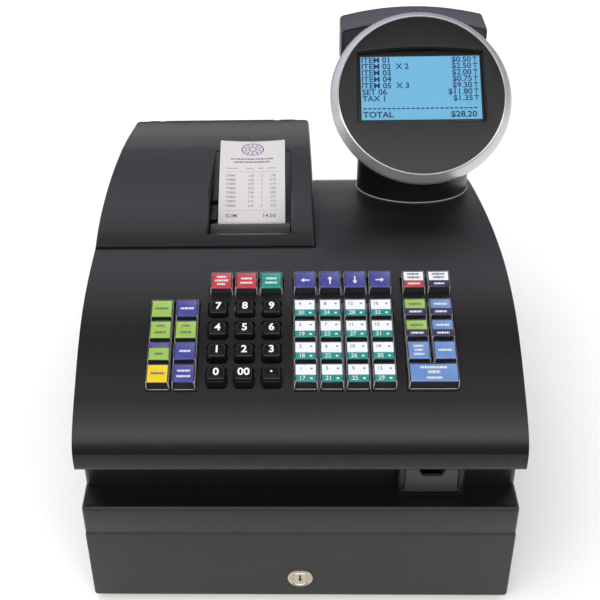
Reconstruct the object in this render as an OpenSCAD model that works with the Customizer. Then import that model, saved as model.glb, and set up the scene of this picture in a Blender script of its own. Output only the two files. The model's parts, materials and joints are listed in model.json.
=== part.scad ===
// Cash register: receipt printer under a domed cover, raised operator display,
// keyboard of relegendable keys, and a compact cash drawer underneath.
// Frame: origin at the centre of the drawer cabinet's footprint, at counter
// level. +X is to the cashier's right, +Y points to the back, +Z is up.

/* [Body] */
// Width of the drawer cabinet and of the body on it
body_w = 325; // [323:1:330]
// Depth of the body from the front lip to the rear wall
body_d = 434; // [434:1:440]
// Wall thickness of the moulded shells
wall = 2.6; // [2.2:0.2:2.8]
// Height of the line where the lower and upper case meet
split_z = 142.4; // [142:0.2:143]
// How far the lower case stands back from the front lip
neck_y = 23; // [22:0.5:24]

/* [Cash drawer] */
// Depth of the sheet-metal drawer cabinet
cab_d = 426; // [426:1:432]
// Height of the drawer cabinet without its feet
cab_h = 101; // [101:0.2:102]
// Thickness of the cabinet's sheet steel
sheet = 1.2; // [1:0.1:1.4]
// Height of the drawer's front panel
front_h = 73.8; // [73:0.2:74]
// Corner radius of the cabinet seen from above
corner_r = 3.5; // [2:0.5:5]
// Height of the rubber feet
foot_h = 5; // [3:0.5:8]
// Radius of the drawer rollers
roller_r = 8; // [8:0.1:8]

/* [Keyboard] */
// Slope of the keyboard plane, in degrees
key_slope = 20; // [20:0.5:20]
// Distance between key rows, front to back
row_pitch = 18; // [18:0.1:18.2]
// Distance between capped keys, side to side
col_pitch = 18.9; // [18.6:0.05:19]
// Distance between number keys, side to side
num_pitch = 20; // [19.5:0.1:20.2]

/* [Display] */
// Outer radius of the round operator display
disc_r = 77; // [75:0.5:78]
// Lean of the operator display back from upright, seen as the tilt of its face
disc_tilt = 43.3; // [42:0.1:44]
// Radius of the display post
post_r = 50; // [48:0.5:50]
// Width of the customer display
cust_w = 130; // [124:1:130]

/* [Receipt printer] */
// Width of the receipt paper
paper_w = 57; // [56:0.5:58]
// Radius of the paper roll
roll_r = 38; // [20:1:38]
// Radius of the platen roller
platen_r = 6; // [6:0.1:6]

/* [Hidden] */
$fn = 64;
fine = 96;               // $fn of the post and the round display
coarse = 32;             // $fn of small pins and stems

// colours used by more than one node
pin_steel = [0.7, 0.7, 0.72];
rail_steel = [0.6, 0.61, 0.62];
grey_steel = [0.55, 0.56, 0.58];
bar_steel = [0.75, 0.75, 0.72];
roller_white = [0.85, 0.85, 0.82];
paper_white = [0.93, 0.93, 0.92];
board_green = [0.1, 0.35, 0.2];
key_green = [0.25, 0.7, 0.62];
case_black = [0.07, 0.07, 0.07];
deep_black = [0.05, 0.05, 0.05];
dark_grey = [0.2, 0.2, 0.21];

// The parts are drawn in a working frame: y = 0 at the drawer's front face,
// z = 0 at the drawer front's lower edge. placed() moves them to the counter.
half_w = body_w / 2;
inner_half = half_w - sheet;   // inside of the cabinet's side
floor_z = cab_h + wall;        // top of the lower case's floor
case_half = half_w - 0.3;      // half width of the lower case
back_y = 384;                  // rear of the body beside the printer
rear_r = 14;                   // plan radius of the printer side's rear corners
cut_top = 300;                 // above everything that is cut from the cases
post_x = 107;                  // display post's axis
post_y = 302;
door_x = 98;                   // card door in the neck
screw_spots = [[-140, 60], [140, 60], [-140, 380], [140, 366]];  // cabinet to lower case
rear_hole = [0, 400];          // round hole through the cabinet top and the case floor
rear_hole_r = 12;

// ---------------------------------------------------------------- helpers
module placed() { translate([0, -cab_d / 2, foot_h]) children(); }
// block from its low corner to its high corner
module block(low, high) { translate(low) cube(high - low); }
// the same with its upright edges rounded
module rounded_block(low, high, radius) {
  size = high - low;
  translate([0, 0, low[2]]) linear_extrude(size[2]) union() {
    translate([low[0] + radius, low[1]]) square([size[0] - 2 * radius, size[1]]);
    translate([low[0], low[1] + radius]) square([size[0], size[1] - 2 * radius]);
    for (x = [low[0] + radius, high[0] - radius], y = [low[1] + radius, high[1] - radius])
      translate([x, y]) circle(radius);
  }
}
// cylinder along x, its axis at [y, z]
module x_cyl(radius, x0, x1, axis) {
  translate([x0, axis[0], axis[1]]) rotate([0, 90, 0]) cylinder(r = radius, h = x1 - x0);
}
// cylinder along y, its axis at [x, z]
module y_cyl(radius, y0, y1, axis) {
  translate([axis[0], y0, axis[1]]) rotate([-90, 0, 0]) cylinder(r = radius, h = y1 - y0);
}
// side profile [y, z] extruded from x0 to x1
module profile(outline, x0, x1) {
  translate([x0, 0, 0]) rotate([90, 0, 90]) linear_extrude(x1 - x0) polygon(outline);
}
module mirrored() {
  children();
  mirror([1, 0, 0]) children();
}
module at_spots(spots, height) {
  for (spot = spots) translate([spot[0], spot[1], height]) children();
}
function grid(columns, rows) = [for (x = columns, y = rows) [x, y]];
function series(first, step, count) = [for (i = [0 : count - 1]) first + step * i];
function last(list) = list[len(list) - 1];

// smooth curve through points (Catmull-Rom)
curve_steps = 4;  // steps in each span
function spline(before, from, to, after, t) = 0.5 * ((2 * from) + (to - before) * t
  + (2 * before - 5 * from + 4 * to - after) * t * t
  + (3 * from - before - 3 * to + after) * t * t * t);
function smooth(points) = let (count = len(points)) concat(
  [for (i = [0 : count - 2], k = [0 : curve_steps - 1])
    spline(points[max(i - 1, 0)], points[i], points[i + 1], points[min(i + 2, count - 1)],
      k / curve_steps)],
  [last(points)]);
// curve moved sideways, to the right of its direction
function unit(vector) = vector / norm(vector);
function shifted(curve, offset) = let (end = len(curve) - 1) [for (i = [0 : end])
  let (along = unit(curve[min(i + 1, end)] - curve[max(i - 1, 0)]))
    curve[i] + offset * [along[1], -along[0]]];
function reversed(list) = [for (i = [len(list) - 1 : -1 : 0]) list[i]];
// the part of a curve between two values of y
function between(curve, y0, y1) = [for (point = curve) if (point[0] > y0 && point[0] < y1) point];
// strip of paper along a curve
module strip(curve, thickness) {
  profile(concat(curve, reversed(shifted(curve, thickness))),
    slot_x - paper_w / 2, slot_x + paper_w / 2);
}

// ---------------------------------------------------------------- printer layout
platen = [203, 192];           // platen axis [y, z]
motor = platen - [0, 15];      // motor axis
roll = [335, 165];             // paper roll axis
hinge = [429.5, 184];          // cover hinge axis
lug_x = [-138, -20];           // left faces of the hinge lugs
lug_w = 5;
bay_x1 = 19.5;                 // right side of the printer bay
cover_x1 = 15;                 // cover's right side
seam_y = 161.5;                // cover's front seam
bay_z = 178;                   // sill of the printer bay
cover_y = seam_y + 0.4;        // cover's front face
slot_x = -38;                  // centre of the receipt slot

// ---------------------------------------------------------------- body outlines, [y, z]
lip = [[1.2, split_z + 1.2], [0.2, 145.2], [0, 148], [0.7, 151.5], [2.4, 155.9]];
front_top = smooth([
  [2.4, 155.9], [8, 162], [18.5, 175], [30.8, 186.7], [45, 196.8], [61.5, 205.2],
  [80, 212.5], [101, 218], [127, 221.2], [seam_y, 222]]);
deck_top = smooth([
  [127, 221.2], [150, 221.2], [180, 218], [208, 213.4], [243, 205.8], [285, 194.8],
  [311, 187], [322, 183], [331, 178]]);
cover_top = smooth([
  [cover_y, 223.6], [170, 226.3], [180, 228.7], [198, 230.9], [222, 231.3], [249, 229.9],
  [282, 225.8], [322, 218.5], [347, 212.4], [377, 204], [hinge[0] - 12, 191.4],
  [hinge[0], hinge[1] + 4.4]]);
// from the split line round the lip, then on to the start of the deck
nose = concat([[neck_y + wall + 4, split_z], [3.4, split_z]], lip);
nose_to_deck = concat(nose, between(front_top, -1, 126));

// limits the printer side to its outline with rounded rear corners
module rear_rounded() {
  intersection() {
    children();
    union() {
      block([-200, -10, 90], [200, back_y - 40, cut_top]);
      rounded_block([-half_w, 200, 90], [cover_x1, body_d, cut_top], rear_r);
    }
  }
}
module case_left() {
  rear_rounded() profile(concat(nose, front_top,
    [[seam_y, bay_z], [body_d, bay_z], [body_d, split_z]]), -half_w, bay_x1);
  profile(concat(nose_to_deck,
    [[seam_y, 221], [seam_y, 150], [back_y, 150], [back_y, split_z]]),
    cover_x1 - 1, bay_x1 + 1);
}
module case_right() {
  profile(concat(nose_to_deck, deck_top,
    [[352, 161.5], [370, 149.5], [381, 144], [back_y, split_z]]), bay_x1, half_w);
}
module case_hollow() {
  low_z = split_z - 1;
  left = -half_w + wall;
  right = half_w - wall;
  inner_front = between(shifted(front_top, wall), -1, seam_y - wall);
  // front cavity, under the nose and the keyboard
  profile(concat(
    [[neck_y + wall, low_z], [neck_y + wall, split_z + wall], [wall + 1.4, split_z + wall],
     [wall + 0.4, 151]],
    [for (point = inner_front) if (point[1] > 153.5) point],
    [[seam_y - wall, 222 - wall], [seam_y - wall, low_z]]), left, right);
  // printer bay, open at the top
  rounded_block([left, seam_y, low_z], [cover_x1 - wall, body_d - wall, cut_top], rear_r - wall);
  block([left, seam_y, low_z], [bay_x1, 340, cut_top]);
  block([-40, seam_y, low_z], [cover_x1 - wall, 360, cut_top]);
  block([0, seam_y, 144.5], [bay_x1, back_y + 1, cut_top]);
  block([0, seam_y, low_z], [bay_x1, back_y - wall, cut_top]);
  block([left, seam_y - wall - 1, low_z], [bay_x1, seam_y + 1, 185]);
  // right-hand cavity under the deck
  profile(concat([[140, low_z], [140, 215]], between(shifted(deck_top, wall), 142, body_d),
    [[350, 159.2], [368, 147.2], [375, split_z], [375, low_z]]), bay_x1 + wall, right);
}

// ---------------------------------------------------------------- keyboard layout
// Places are in the sloping plane: x to the right, y up the slope, z square to it.
// Rows run from the back to the front.
main_rows = series(157.6, -row_pitch, 4);
number_rows = series(159.6, -(row_pitch + 0.35), 4);
top_rows = [182];
left_columns = series(-101.4, col_pitch, 2);
number_columns = series(-59.2, num_pitch, 3);
dept_columns = series(5.6, col_pitch, 4);
right_columns = series(87.8, col_pitch, 2);
top_columns = series(-57.4, col_pitch, 3);
arrow_columns = series(5.6 + 0.6, col_pitch, 4);
mode_columns = series(88.5, col_pitch, 2);
// blocks of capped keys, [columns, rows]
cap_groups = [
  [left_columns, main_rows], [dept_columns, main_rows], [right_columns, main_rows],
  [top_columns, top_rows], [arrow_columns, top_rows], [mode_columns, top_rows]];
all_stems = concat(grid(number_columns, number_rows),
  [for (group = cap_groups, spot = grid(group[0], group[1])) spot]);

cap_base = [17.6, 16.8];   // lower tier of a capped key
cap_face = [16.2, 15];     // upper tier
cap_base_h = 9;
number_half = [7.4, 7];    // half width and depth of a number key
key_gap = 0.8;             // around the keys in the case
key_top = 178;
key_low = 161.2;
stem_low = 153.4;
plate_z = [156, 157.6];
board_z = [144, 145.6];
sheet_x = [-117, 122];     // extent of the plate and the board
sheet_y = [90, 194];

module on_key_plane() { rotate([key_slope, 0, 0]) children(); }
module stem(x, y) {
  translate([x, y, stem_low]) cylinder(r = 3, h = key_low - stem_low + 0.5, $fn = coarse);
}
module cap(x, y, columns = 1) {
  extra = col_pitch * (columns - 1);
  translate([x - (cap_base[0] + extra) / 2, y - cap_base[1] / 2, key_low])
    cube([cap_base[0] + extra, cap_base[1], cap_base_h]);
  translate([x - (cap_face[0] + extra) / 2, y - cap_face[1] / 2, key_low + cap_base_h])
    cube([cap_face[0] + extra, cap_face[1], key_top - key_low - cap_base_h]);
  for (i = [0 : columns - 1]) stem(x - extra / 2 + i * col_pitch, y);
}
module caps(columns, rows) {
  for (x = columns, y = rows) cap(x, y);
}
module number_key(x, y) {
  half = number_half;
  tier_z = key_low + 11;
  translate([x, y, 0]) {
    rounded_block([-half[0], -half[1], key_low], [half[0], half[1], tier_z], 3);
    rounded_block([-6.4, -5.6, tier_z], [6.4, 5.6, key_top - 2], 2.6);
  }
  stem(x, y);
}
// opening round a block of keys whose half size is given
module opening(columns, rows, half) {
  x_margin = half[0] + key_gap;
  y_margin = half[1] + key_gap;
  block([columns[0] - x_margin, last(rows) - y_margin, 150],
    [last(columns) + x_margin, rows[0] + y_margin, 200]);
}
module key_openings() {
  for (group = cap_groups) opening(group[0], group[1], cap_base / 2);
  for (x = number_columns, y = number_rows) opening([x], [y], number_half);
}

// ---------------------------------------------------------------- cash drawer cabinet
front_d = 14;              // depth of the drawer's front panel
opening_z = front_h + 1;   // top of the cabinet's opening
cab_rail_z = 23.2;         // top of the cabinet's rails
box_rail_z = 40;           // underside of the drawer box's flanges
roller_gap = 0.05;
axle_r = 2;
cab_roller = [32, box_rail_z - roller_r - roller_gap];    // axis [y, z]
box_roller = [388, cab_rail_z + roller_r + roller_gap];
clip_axis = [322, 50];
bill_x = series(-108, 72, 4);
coin_pitch = 57.6;
coin_w = 55.6;
lock = [0.5, 22.4];        // lock axis [x, z]

module cabinet_cover() color([0.11, 0.11, 0.11]) placed() {
  difference() {
    rounded_block([-half_w, 0, 0.2], [half_w, cab_d, cab_h], corner_r);
    block([-inner_half, sheet, -1], [inner_half, cab_d - sheet, cab_h - sheet]);
    block([-half_w - 1, -1, -1], [half_w + 1, front_d + 0.6, opening_z]);
    at_spots(screw_spots, cab_h - 5) cylinder(r = 2.1, h = 10);
    at_spots([rear_hole], cab_h - 5) cylinder(r = rear_hole_r, h = 10);
  }
  // flange over the opening
  block([-inner_half, sheet, opening_z], [inner_half, front_d, opening_z + sheet]);
}
module cabinet_base() color([0.16, 0.16, 0.16]) placed() {
  base_half = inner_half - 0.4;
  base_back = cab_d - sheet - 0.4;
  block([-base_half, 16, 0], [base_half, base_back, sheet]);
  block([-150, 16, 0], [150, 16 + sheet, 4.8]);
  block([-base_half, base_back - sheet, 0], [base_half, base_back, 12]);
  mirrored() block([base_half - sheet, 16, 0], [base_half, base_back, 12]);
}
module rubber_feet() color(deep_black) placed()
  at_spots(grid([-130, 130], [40, 395]), -foot_h) cylinder(r = 10, h = foot_h);
module cabinet_rails() color(rail_steel) placed() mirrored() {
  block([inner_half - 1.2, 20, 18], [inner_half, 415, 30]);
  block([inner_half - 1.2, 24, 18], [inner_half, 40, 38]);
  block([150.5, 20, cab_rail_z - 1.2], [inner_half - 0.5, 415, cab_rail_z]);
  x_cyl(axle_r, 150.9, inner_half - 0.5, cab_roller);
}
module roller(axis) difference() {
  x_cyl(roller_r, 151.5, 158.5, axis);
  x_cyl(axle_r + 0.06, 150, 160, axis);
}
module cabinet_rollers() color(roller_white) placed() mirrored() roller(cab_roller);
module drawer_rollers() color(roller_white) placed() mirrored() roller(box_roller);

module drawer_front() color([0.2, 0.2, 0.19]) placed() difference() {
  rounded_block([-half_w, 0, 0], [half_w, 30, front_h], corner_r);
  // leaves the rounded corners at the front only
  block([-half_w - 1, front_d, -1], [half_w + 1, 31, front_h + 1]);
  block([-inner_half, sheet, sheet], [inner_half, 12.8, front_h - sheet]);
  block([-135, 12, 10], [135, 15, 56]);
  y_cyl(9.6, -1, 5, lock);
}
module drawer_box() color([0.45, 0.46, 0.47]) placed() {
  difference() {
    block([-148, front_d, 6], [148, 400, 60]);
    block([-147, 15.2, 7], [147, 399, 61]);
    y_cyl(11.5, 13, 16, lock);
    block([-6, 16.4, 5], [19, 21, 8]);
  }
  mirrored() {
    block([147, 20, box_rail_z], [159, 398, box_rail_z + 1.2]);
    x_cyl(axle_r, 147, 159.4, box_roller);
  }
  // striker for the latch
  block([-8, 399.5, 40], [8, 410, 41.2]);
  block([-8, 408.8, 34], [8, 410, 41.2]);
}
// coin compartments in front, bill compartments behind
module till_insert() color([0.13, 0.13, 0.13]) placed() difference() {
  block([-145, 27, 7], [145, 332, 57]);
  for (x = series(-143, coin_pitch, 5)) block([x, 29, 13], [x + coin_w, 120, 58]);
  for (x = bill_x) block([x - 35, 122, 9.5], [x + 35, 330, 58]);
  x_cyl(2.02, -150, 150, clip_axis);
}
module clip_axle() color(pin_steel) placed() x_cyl(2, -144.9, 144.9, clip_axis);
module bill_clips() color(dark_grey) placed() for (x = bill_x) difference() {
  union() {
    x_cyl(4.5, x - 9, x + 9, clip_axis);
    translate([x, clip_axis[0], clip_axis[1]]) rotate([27, 0, 0]) {
      translate([-8, -60, -1.5]) cube([16, 60, 3]);
      translate([-8, -60, 0]) rotate([0, 90, 0]) cylinder(r = 3, h = 16);
    }
  }
  x_cyl(2.06, x - 20, x + 20, clip_axis);
}

// ---------------------------------------------------------------- drawer lock
module lock_body() color([0.75, 0.72, 0.66]) placed() difference() {
  union() {
    y_cyl(10, -1.8, 0, lock);
    y_cyl(9.5, -0.5, 16, lock);
    // hexagonal nut behind the front sheet
    translate([lock[0], sheet, lock[1]]) rotate([-90, 0, 0]) cylinder(r = 13, h = 3, $fn = 6);
  }
  y_cyl(6.05, -3, 20, lock);
  y_cyl(7.6, -3, -1.1, lock);
}
module lock_plug() color([0.7, 0.67, 0.6]) placed() difference() {
  union() {
    y_cyl(6, -1.5, 17.4, lock);
    y_cyl(2.5, 17, 21.4, lock);
  }
  // keyway
  block([-0.3, -3, 18.9], [1.3, 6, 25.9]);
  block([-0.9, -3, 20.4], [1.9, 4, 21.6]);
}
module lock_cam() color([0.72, 0.72, 0.7]) placed() difference() {
  union() {
    y_cyl(6, 17.5, 19.5, lock);
    block([lock[0], 17.5, lock[1] - 4], [lock[0] + 20, 19.5, lock[1] + 4]);
  }
  y_cyl(2.52, 15, 22, lock);
}

// ---------------------------------------------------------------- drawer release
latch_pivot = [40, 20];    // [x, z]
plunger_spot = [72, 412];  // [x, y]

module latch_bracket() color(rail_steel) placed() {
  block([28, 408, sheet], [52, 421, sheet + 1.2]);
  block([28, 408, sheet], [52, 409.5, 30]);
  y_cyl(2.5, 402.3, 409, latch_pivot);
}
module latch_lever() color(grey_steel) placed() difference() {
  union() {
    block([-5, 403.5, 16], [64, 406.5, 24]);
    block([-5, 403.5, 16], [5, 406.5, 31]);
    block([62, 403.5, 18.6], [80, 406.5, 24]);
    block([64, 403.5, 18.8], [80, 418, 21]);
  }
  y_cyl(2.56, 400, 410, latch_pivot);
  // slot round the plunger's thin rod
  block([69, 408.5, 15], [75, 419, 25]);
}
module release_solenoid() color([0.35, 0.3, 0.2]) placed() difference() {
  union() {
    block([60, 402.5, 30], [84, 422, 62]);
    block([56, 422, 34], [88, cab_d - sheet, 58]);
  }
  at_spots([plunger_spot], 25) cylinder(r = 4.56, h = 33);
}
module solenoid_plunger() color([0.65, 0.65, 0.66]) placed() {
  at_spots([plunger_spot], 24.5) cylinder(r = 4.5, h = 27);
  at_spots([plunger_spot], 16) cylinder(r = 2, h = 9);
  at_spots([plunger_spot], 14) cylinder(r = 4.2, h = 2.4);
}
// helical compression spring, its wire swept along the coil
module coil(radius, wire, length, turns, steps = 16, sides = 8) {
  count = turns * steps;
  points = [for (i = [0 : count], j = [0 : sides - 1])
    let (turn = 360 * i / steps, around = 360 * j / sides, reach = radius + wire * cos(around))
      [reach * cos(turn), reach * sin(turn), length * i / count + wire * sin(around)]];
  faces = concat(
    [for (i = [0 : count - 1], j = [0 : sides - 1]) let (k = (j + 1) % sides)
      [i * sides + j, (i + 1) * sides + j, (i + 1) * sides + k, i * sides + k]],
    [[for (j = [0 : sides - 1]) j]],
    [[for (j = [sides - 1 : -1 : 0]) count * sides + j]]);
  polyhedron(points = points, faces = faces, convexity = 10);
}
module ejector_spring() color(pin_steel) placed() translate([-40, 402, 30])
  rotate([-90, 0, 0]) coil(radius = 6, wire = 0.8, length = 21, turns = 6);

// ---------------------------------------------------------------- cases
door_axis = [14.9, 105.2];   // card door's pivot [y, z]
cord_axis = [-60, 122];      // power cord [x, z]

module lower_case() color(case_black) placed() difference() {
  inner = case_half - wall;
  union() {
    difference() {
      union() {
        rounded_block([-case_half, neck_y, cab_h], [case_half, back_y, split_z], 4);
        rounded_block([-case_half, 200, cab_h], [cover_x1, body_d - 1, split_z], rear_r);
      }
      rounded_block([-inner, neck_y + wall, floor_z], [inner, back_y - wall, split_z + 5], 2);
      rounded_block([-inner, 202, floor_z],
        [cover_x1 - wall, body_d - 1 - wall, split_z + 5], rear_r - wall);
    }
    rounded_block([door_x - 25, 13.4, cab_h], [door_x + 25, neck_y + wall, split_z], 3);
    at_spots(screw_spots, cab_h + 1) cylinder(r = 5, h = 11);
  }
  // pocket for the card door, and the opening behind it
  block([door_x - 20, 10, cab_h + 1.4], [door_x + 20, 20, split_z + 1]);
  block([door_x - 17.5, 15, floor_z + 4], [door_x + 17.5, 30, split_z - 4]);
  x_cyl(1.56, door_x - 22.5, door_x + 22.5, door_axis);
  at_spots(screw_spots, cab_h - 1) cylinder(r = 1.95, h = 11);
  // cord hole in the rear wall
  y_cyl(6, body_d - 10, body_d + 5, cord_axis);
  at_spots([rear_hole], cab_h - 1) cylinder(r = rear_hole_r, h = 10);
}
module upper_case() color([0.09, 0.09, 0.1]) placed() difference() {
  union() {
    difference() {
      union() {
        case_left();
        case_right();
      }
      case_hollow();
      on_key_plane() key_openings();
      translate([post_x, post_y, 100]) cylinder(r = post_r + 0.15, h = 200, $fn = fine);
    }
    // lugs for the cover's hinge pins
    for (x = lug_x) {
      x_cyl(3.1, x, x + lug_w, hinge);
      block([x, hinge[0] - 3, 160], [x + lug_w, hinge[0] + 2.9, hinge[1]]);
    }
  }
  for (x = lug_x) x_cyl(2.02, x - 1, x + lug_w + 1, hinge);
}
module case_screws() color(pin_steel) placed() {
  head_z = cab_h - sheet - 2.4;
  at_spots(screw_spots, head_z) cylinder(r = 3.5, h = 2.4, $fn = coarse);
  at_spots(screw_spots, head_z + 1.9) cylinder(r = 1.9, h = 10, $fn = coarse);
}
module keyboard_sheet(height) {
  block([sheet_x[0], sheet_y[0], height[0]], [sheet_x[1], sheet_y[1], height[1]]);
}
module keyboard_plate() color(grey_steel) placed() on_key_plane() difference() {
  keyboard_sheet(plate_z);
  at_spots(all_stems, 150) cylinder(r = 3.3, h = 15, $fn = coarse);
}
// board with a round stud under each key stem
module keyboard_board() color(board_green) placed() on_key_plane() {
  keyboard_sheet(board_z);
  at_spots(all_stems, board_z[1] - 0.1) cylinder(r = 5, h = 4.1, $fn = 24);
}
module main_board() color(board_green) placed() {
  part_z = 111.5;  // just below the board's top face
  block([0, 120, 110], [140, 235, 111.6]);
  block([30, 150, part_z], [58, 178, 114]);
  block([70, 150, part_z], [92, 168, 114]);
  block([105, 190, part_z], [130, 215, 118]);
  block([5, 200, part_z], [50, 208, 120]);
  at_spots(grid([6, 134], [126, 229]), floor_z) cylinder(r = 3, h = 6.5, $fn = coarse);
}
module power_supply() color([0.5, 0.45, 0.35]) placed() {
  block([-140, 70, floor_z], [-90, 130, floor_z + 3]);
  block([-135, 75, floor_z + 3], [-95, 125, 146]);
  block([-127, 80, 146], [-103, 120, 150]);
}
module power_cord() color(deep_black) placed() {
  y_cyl(5.9, body_d - 8, body_d + 6, cord_axis);
  y_cyl(8, body_d - 1, body_d + 2, cord_axis);
  y_cyl(3.5, body_d + 5, body_d + 20, cord_axis);
}
module card_reader() color([0.6, 0.6, 0.6]) placed() difference() {
  union() {
    block([door_x - 16, 30, 116], [door_x + 16, 66, 117.6]);
    block([door_x - 14, 28, 117.6], [door_x + 14, 58, 122.4]);
    at_spots(grid([door_x - 12, door_x + 12], [36, 60]), floor_z)
      cylinder(r = 3, h = 13, $fn = coarse);
  }
  block([door_x - 12.3, 27, 118.6], [door_x + 12.3, 56, 121.4]);
}
module card_door() color([0.16, 0.16, 0.16]) placed() difference() {
  union() {
    block([door_x - 19.5, 13.2, 103.8], [door_x + 19.5, 15.6, 141.2]);
    x_cyl(1.5, door_x - 22.2, door_x + 22.2, door_axis);
  }
  // tapered notch in the upper edge
  translate([0, 12, 0]) rotate([-90, 0, 0]) mirror([0, 1, 0]) linear_extrude(5)
    polygon([[door_x - 10, 142], [door_x - 6.5, 138], [door_x + 6.5, 138], [door_x + 10, 142]]);
}

// ---------------------------------------------------------------- receipt printer
recess_x = [slot_x - 37, slot_x + 36];   // receipt recess in the cover
frame_x = [slot_x - 40, slot_x + 39];    // outer faces of the printer frame
cheek = 2;                               // thickness of the recess's and the frame's sides
motor_plate_x = [slot_x - 49.5, slot_x - 48];
// outlines and curves, [y, z]
recess_floor = [[318, 219.2], [213.4, 207], [213.4, 204.8], [318, 217]];
recess_front = [[172.6, 226.9], [196.3, 210.4], [194.8, 208.2], [170.4, 225.2]];
recess_side = [
  [170.4, 225.4], [198, 229.2], [222, 229.8], [249, 228.4], [282, 224.2],
  [318, 217.4], [213.4, 204.8], [194.8, 207.4]];
frame_side = [
  [185, 150], [352, 150], [352, 174], [346, 180], [324, 180], [250, 166],
  [222, 200], [222, 206], [190, 206]];
motor_plate = [[188, 150], [220, 150], [220, 192], [188, 192]];
tear_outline = [
  [191, 206.1], [208.2, 206.1], [208.6, 212.6], [207.4, 213.2], [197.4, 210.2],
  [197.4, 207.2], [191, 207.2]];
web_curve = [[318, 129.6], [266, 150.8], [219, 170], [211.4, 177], [209.4, 185], [209.3, 203]];
receipt_curve = [
  [210.6, 206.4], [212.6, 211.4], [222, 218.2], [240, 226.4], [264, 236], [290, 245]];

module printer_cover() color([0.1, 0.1, 0.11]) placed() difference() {
  inner_y = hinge[0] - 5;
  left = -half_w + wall;
  right = cover_x1 - wall;
  union() {
    difference() {
      rear_rounded() profile(concat([[cover_y, bay_z + 0.5]], cover_top,
        [[hinge[0], bay_z + 1.4], [hinge[0] - 4, bay_z + 0.5]]), -half_w, cover_x1);
      profile(concat([[cover_y + wall, bay_z - 1], [cover_y + wall, 221.2]],
        between(shifted(cover_top, wall), seam_y + 4, inner_y),
        [[inner_y, 185], [inner_y, bay_z - 1]]), left, right);
      // receipt recess
      block([slot_x - 35, 172, 196], [slot_x + 34, 318, 240]);
      // front wall ends above the printer
      block([left, seam_y, bay_z - 1], [right, seam_y + 4, 205]);
    }
    x_cyl(4.4, -half_w + rear_r, cover_x1 - rear_r, hinge);
    profile(recess_floor, recess_x[0], recess_x[1]);
    profile(recess_front, recess_x[0], recess_x[1]);
    for (x = [recess_x[0], recess_x[1] - cheek]) profile(recess_side, x, x + cheek);
  }
  // clearance at the hinge lugs, and the pin bores
  for (x = lug_x) {
    x0 = x - 0.5;
    x1 = x + lug_w + 0.5;
    block([x0, hinge[0] - 9, bay_z - 2], [x1, hinge[0], hinge[1]]);
    block([x0, hinge[0] - 0.01, bay_z - 2], [x1, hinge[0] + 8, hinge[1] + 8]);
    x_cyl(3.4, x0, x1, hinge);
    x_cyl(2.06, x - 8, x + 13, hinge);
  }
}
module cover_hinge_pins() color(pin_steel) placed()
  for (x = lug_x) x_cyl(2, x - 7.5, x + 12.5, hinge);
module printer_frame() color([0.3, 0.3, 0.31]) placed() difference() {
  union() {
    block([frame_x[0], 182, 150], [frame_x[1], 240, 152]);
    for (x = [frame_x[0], frame_x[1] - cheek]) profile(frame_side, x, x + cheek);
    block([frame_x[0], 190, 198.6], [frame_x[1], 196.6, 206]);
    block([frame_x[0], 214.2, 180], [frame_x[1], 216, 198]);
    // motor plate beside the frame
    profile(motor_plate, motor_plate_x[0], motor_plate_x[1]);
    block([motor_plate_x[0], 188, 150], [slot_x - 39, 220, 152]);
    at_spots(grid([slot_x - 32, slot_x + 30], [188, 234]), floor_z)
      cylinder(r = 4, h = 150 - floor_z + 0.5, $fn = coarse);
  }
  x_cyl(3.06, slot_x - 41, slot_x + 41, platen);
  x_cyl(11.6, slot_x - 50, slot_x - 47, platen);
  x_cyl(5.04, slot_x - 41, slot_x + 41, roll);
  x_cyl(3, slot_x - 50, slot_x - 47, motor);
}
module print_head() color(bar_steel) placed() {
  block([slot_x - 31, 209.7, 186], [slot_x + 31, 212, 198]);
  block([slot_x - 31, 211.9, 182], [slot_x + 31, 214.2, 199.5]);
}
module tear_bar() color(bar_steel) placed() profile(tear_outline, slot_x - 34, slot_x + 33);
// spur gear about the x axis; turn sets its teeth against the other gear's gaps
module spur(radius, teeth, x0, x1, axis, turn) {
  root = radius - 1.6;
  tip = radius + 0.8;
  translate([x0, axis[0], axis[1]]) rotate([90, 0, 90]) linear_extrude(x1 - x0) union() {
    circle(radius - 1.2);
    for (i = [0 : teeth - 1]) rotate(turn + i * 360 / teeth)
      polygon([[root, -0.85], [radius, -0.62], [tip, -0.35],
        [tip, 0.35], [radius, 0.62], [root, 0.85]]);
  }
}
module platen_roller() color([0.08, 0.08, 0.08]) placed() {
  x_cyl(platen_r, slot_x - 33, slot_x + 32, platen);
  x_cyl(3, slot_x - 46.3, slot_x + 40, platen);
  spur(10, 20, slot_x - 46, slot_x - 41, platen, turn = 9);
}
module paper_motor() color(grey_steel) placed() {
  x_cyl(13, slot_x - 74, motor_plate_x[0], motor);
  x_cyl(2.9, slot_x - 49.6, slot_x - 47.6, motor);
  x_cyl(1.5, slot_x - 49, slot_x - 41.4, motor);
}
module motor_pinion() color([0.85, 0.8, 0.6]) placed() difference() {
  spur(5, 10, slot_x - 46.4, slot_x - 41.2, motor, turn = 90);
  x_cyl(1.56, slot_x - 50, slot_x - 40, motor);
}
module paper_roll() color(paper_white) placed() difference() {
  x_cyl(roll_r, slot_x - paper_w / 2, slot_x + paper_w / 2, roll);
  x_cyl(5.06, -200, 100, roll);
}
module paper_spindle() color(dark_grey) placed() x_cyl(5, frame_x[0], frame_x[1], roll);
module paper_web() color(paper_white) placed() strip(smooth(web_curve), 0.2);
module receipt_paper() color([0.95, 0.95, 0.94]) placed() strip(smooth(receipt_curve), 0.25);

// ---------------------------------------------------------------- display tower
// on_disc() puts z = 0 on the round display's face
disc_centre = [post_x, 270, 302];
cut_z = -41;       // the post's slanted top, behind the display face
tilt = [0, -34];   // tilt axis behind the display face, [y, z]
flat_z = 283;      // level rear part of the post's top
swivel = [post_x, 335];
crown_rise = 9;    // arch of the customer display's top
crown_steps = 12;
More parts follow.
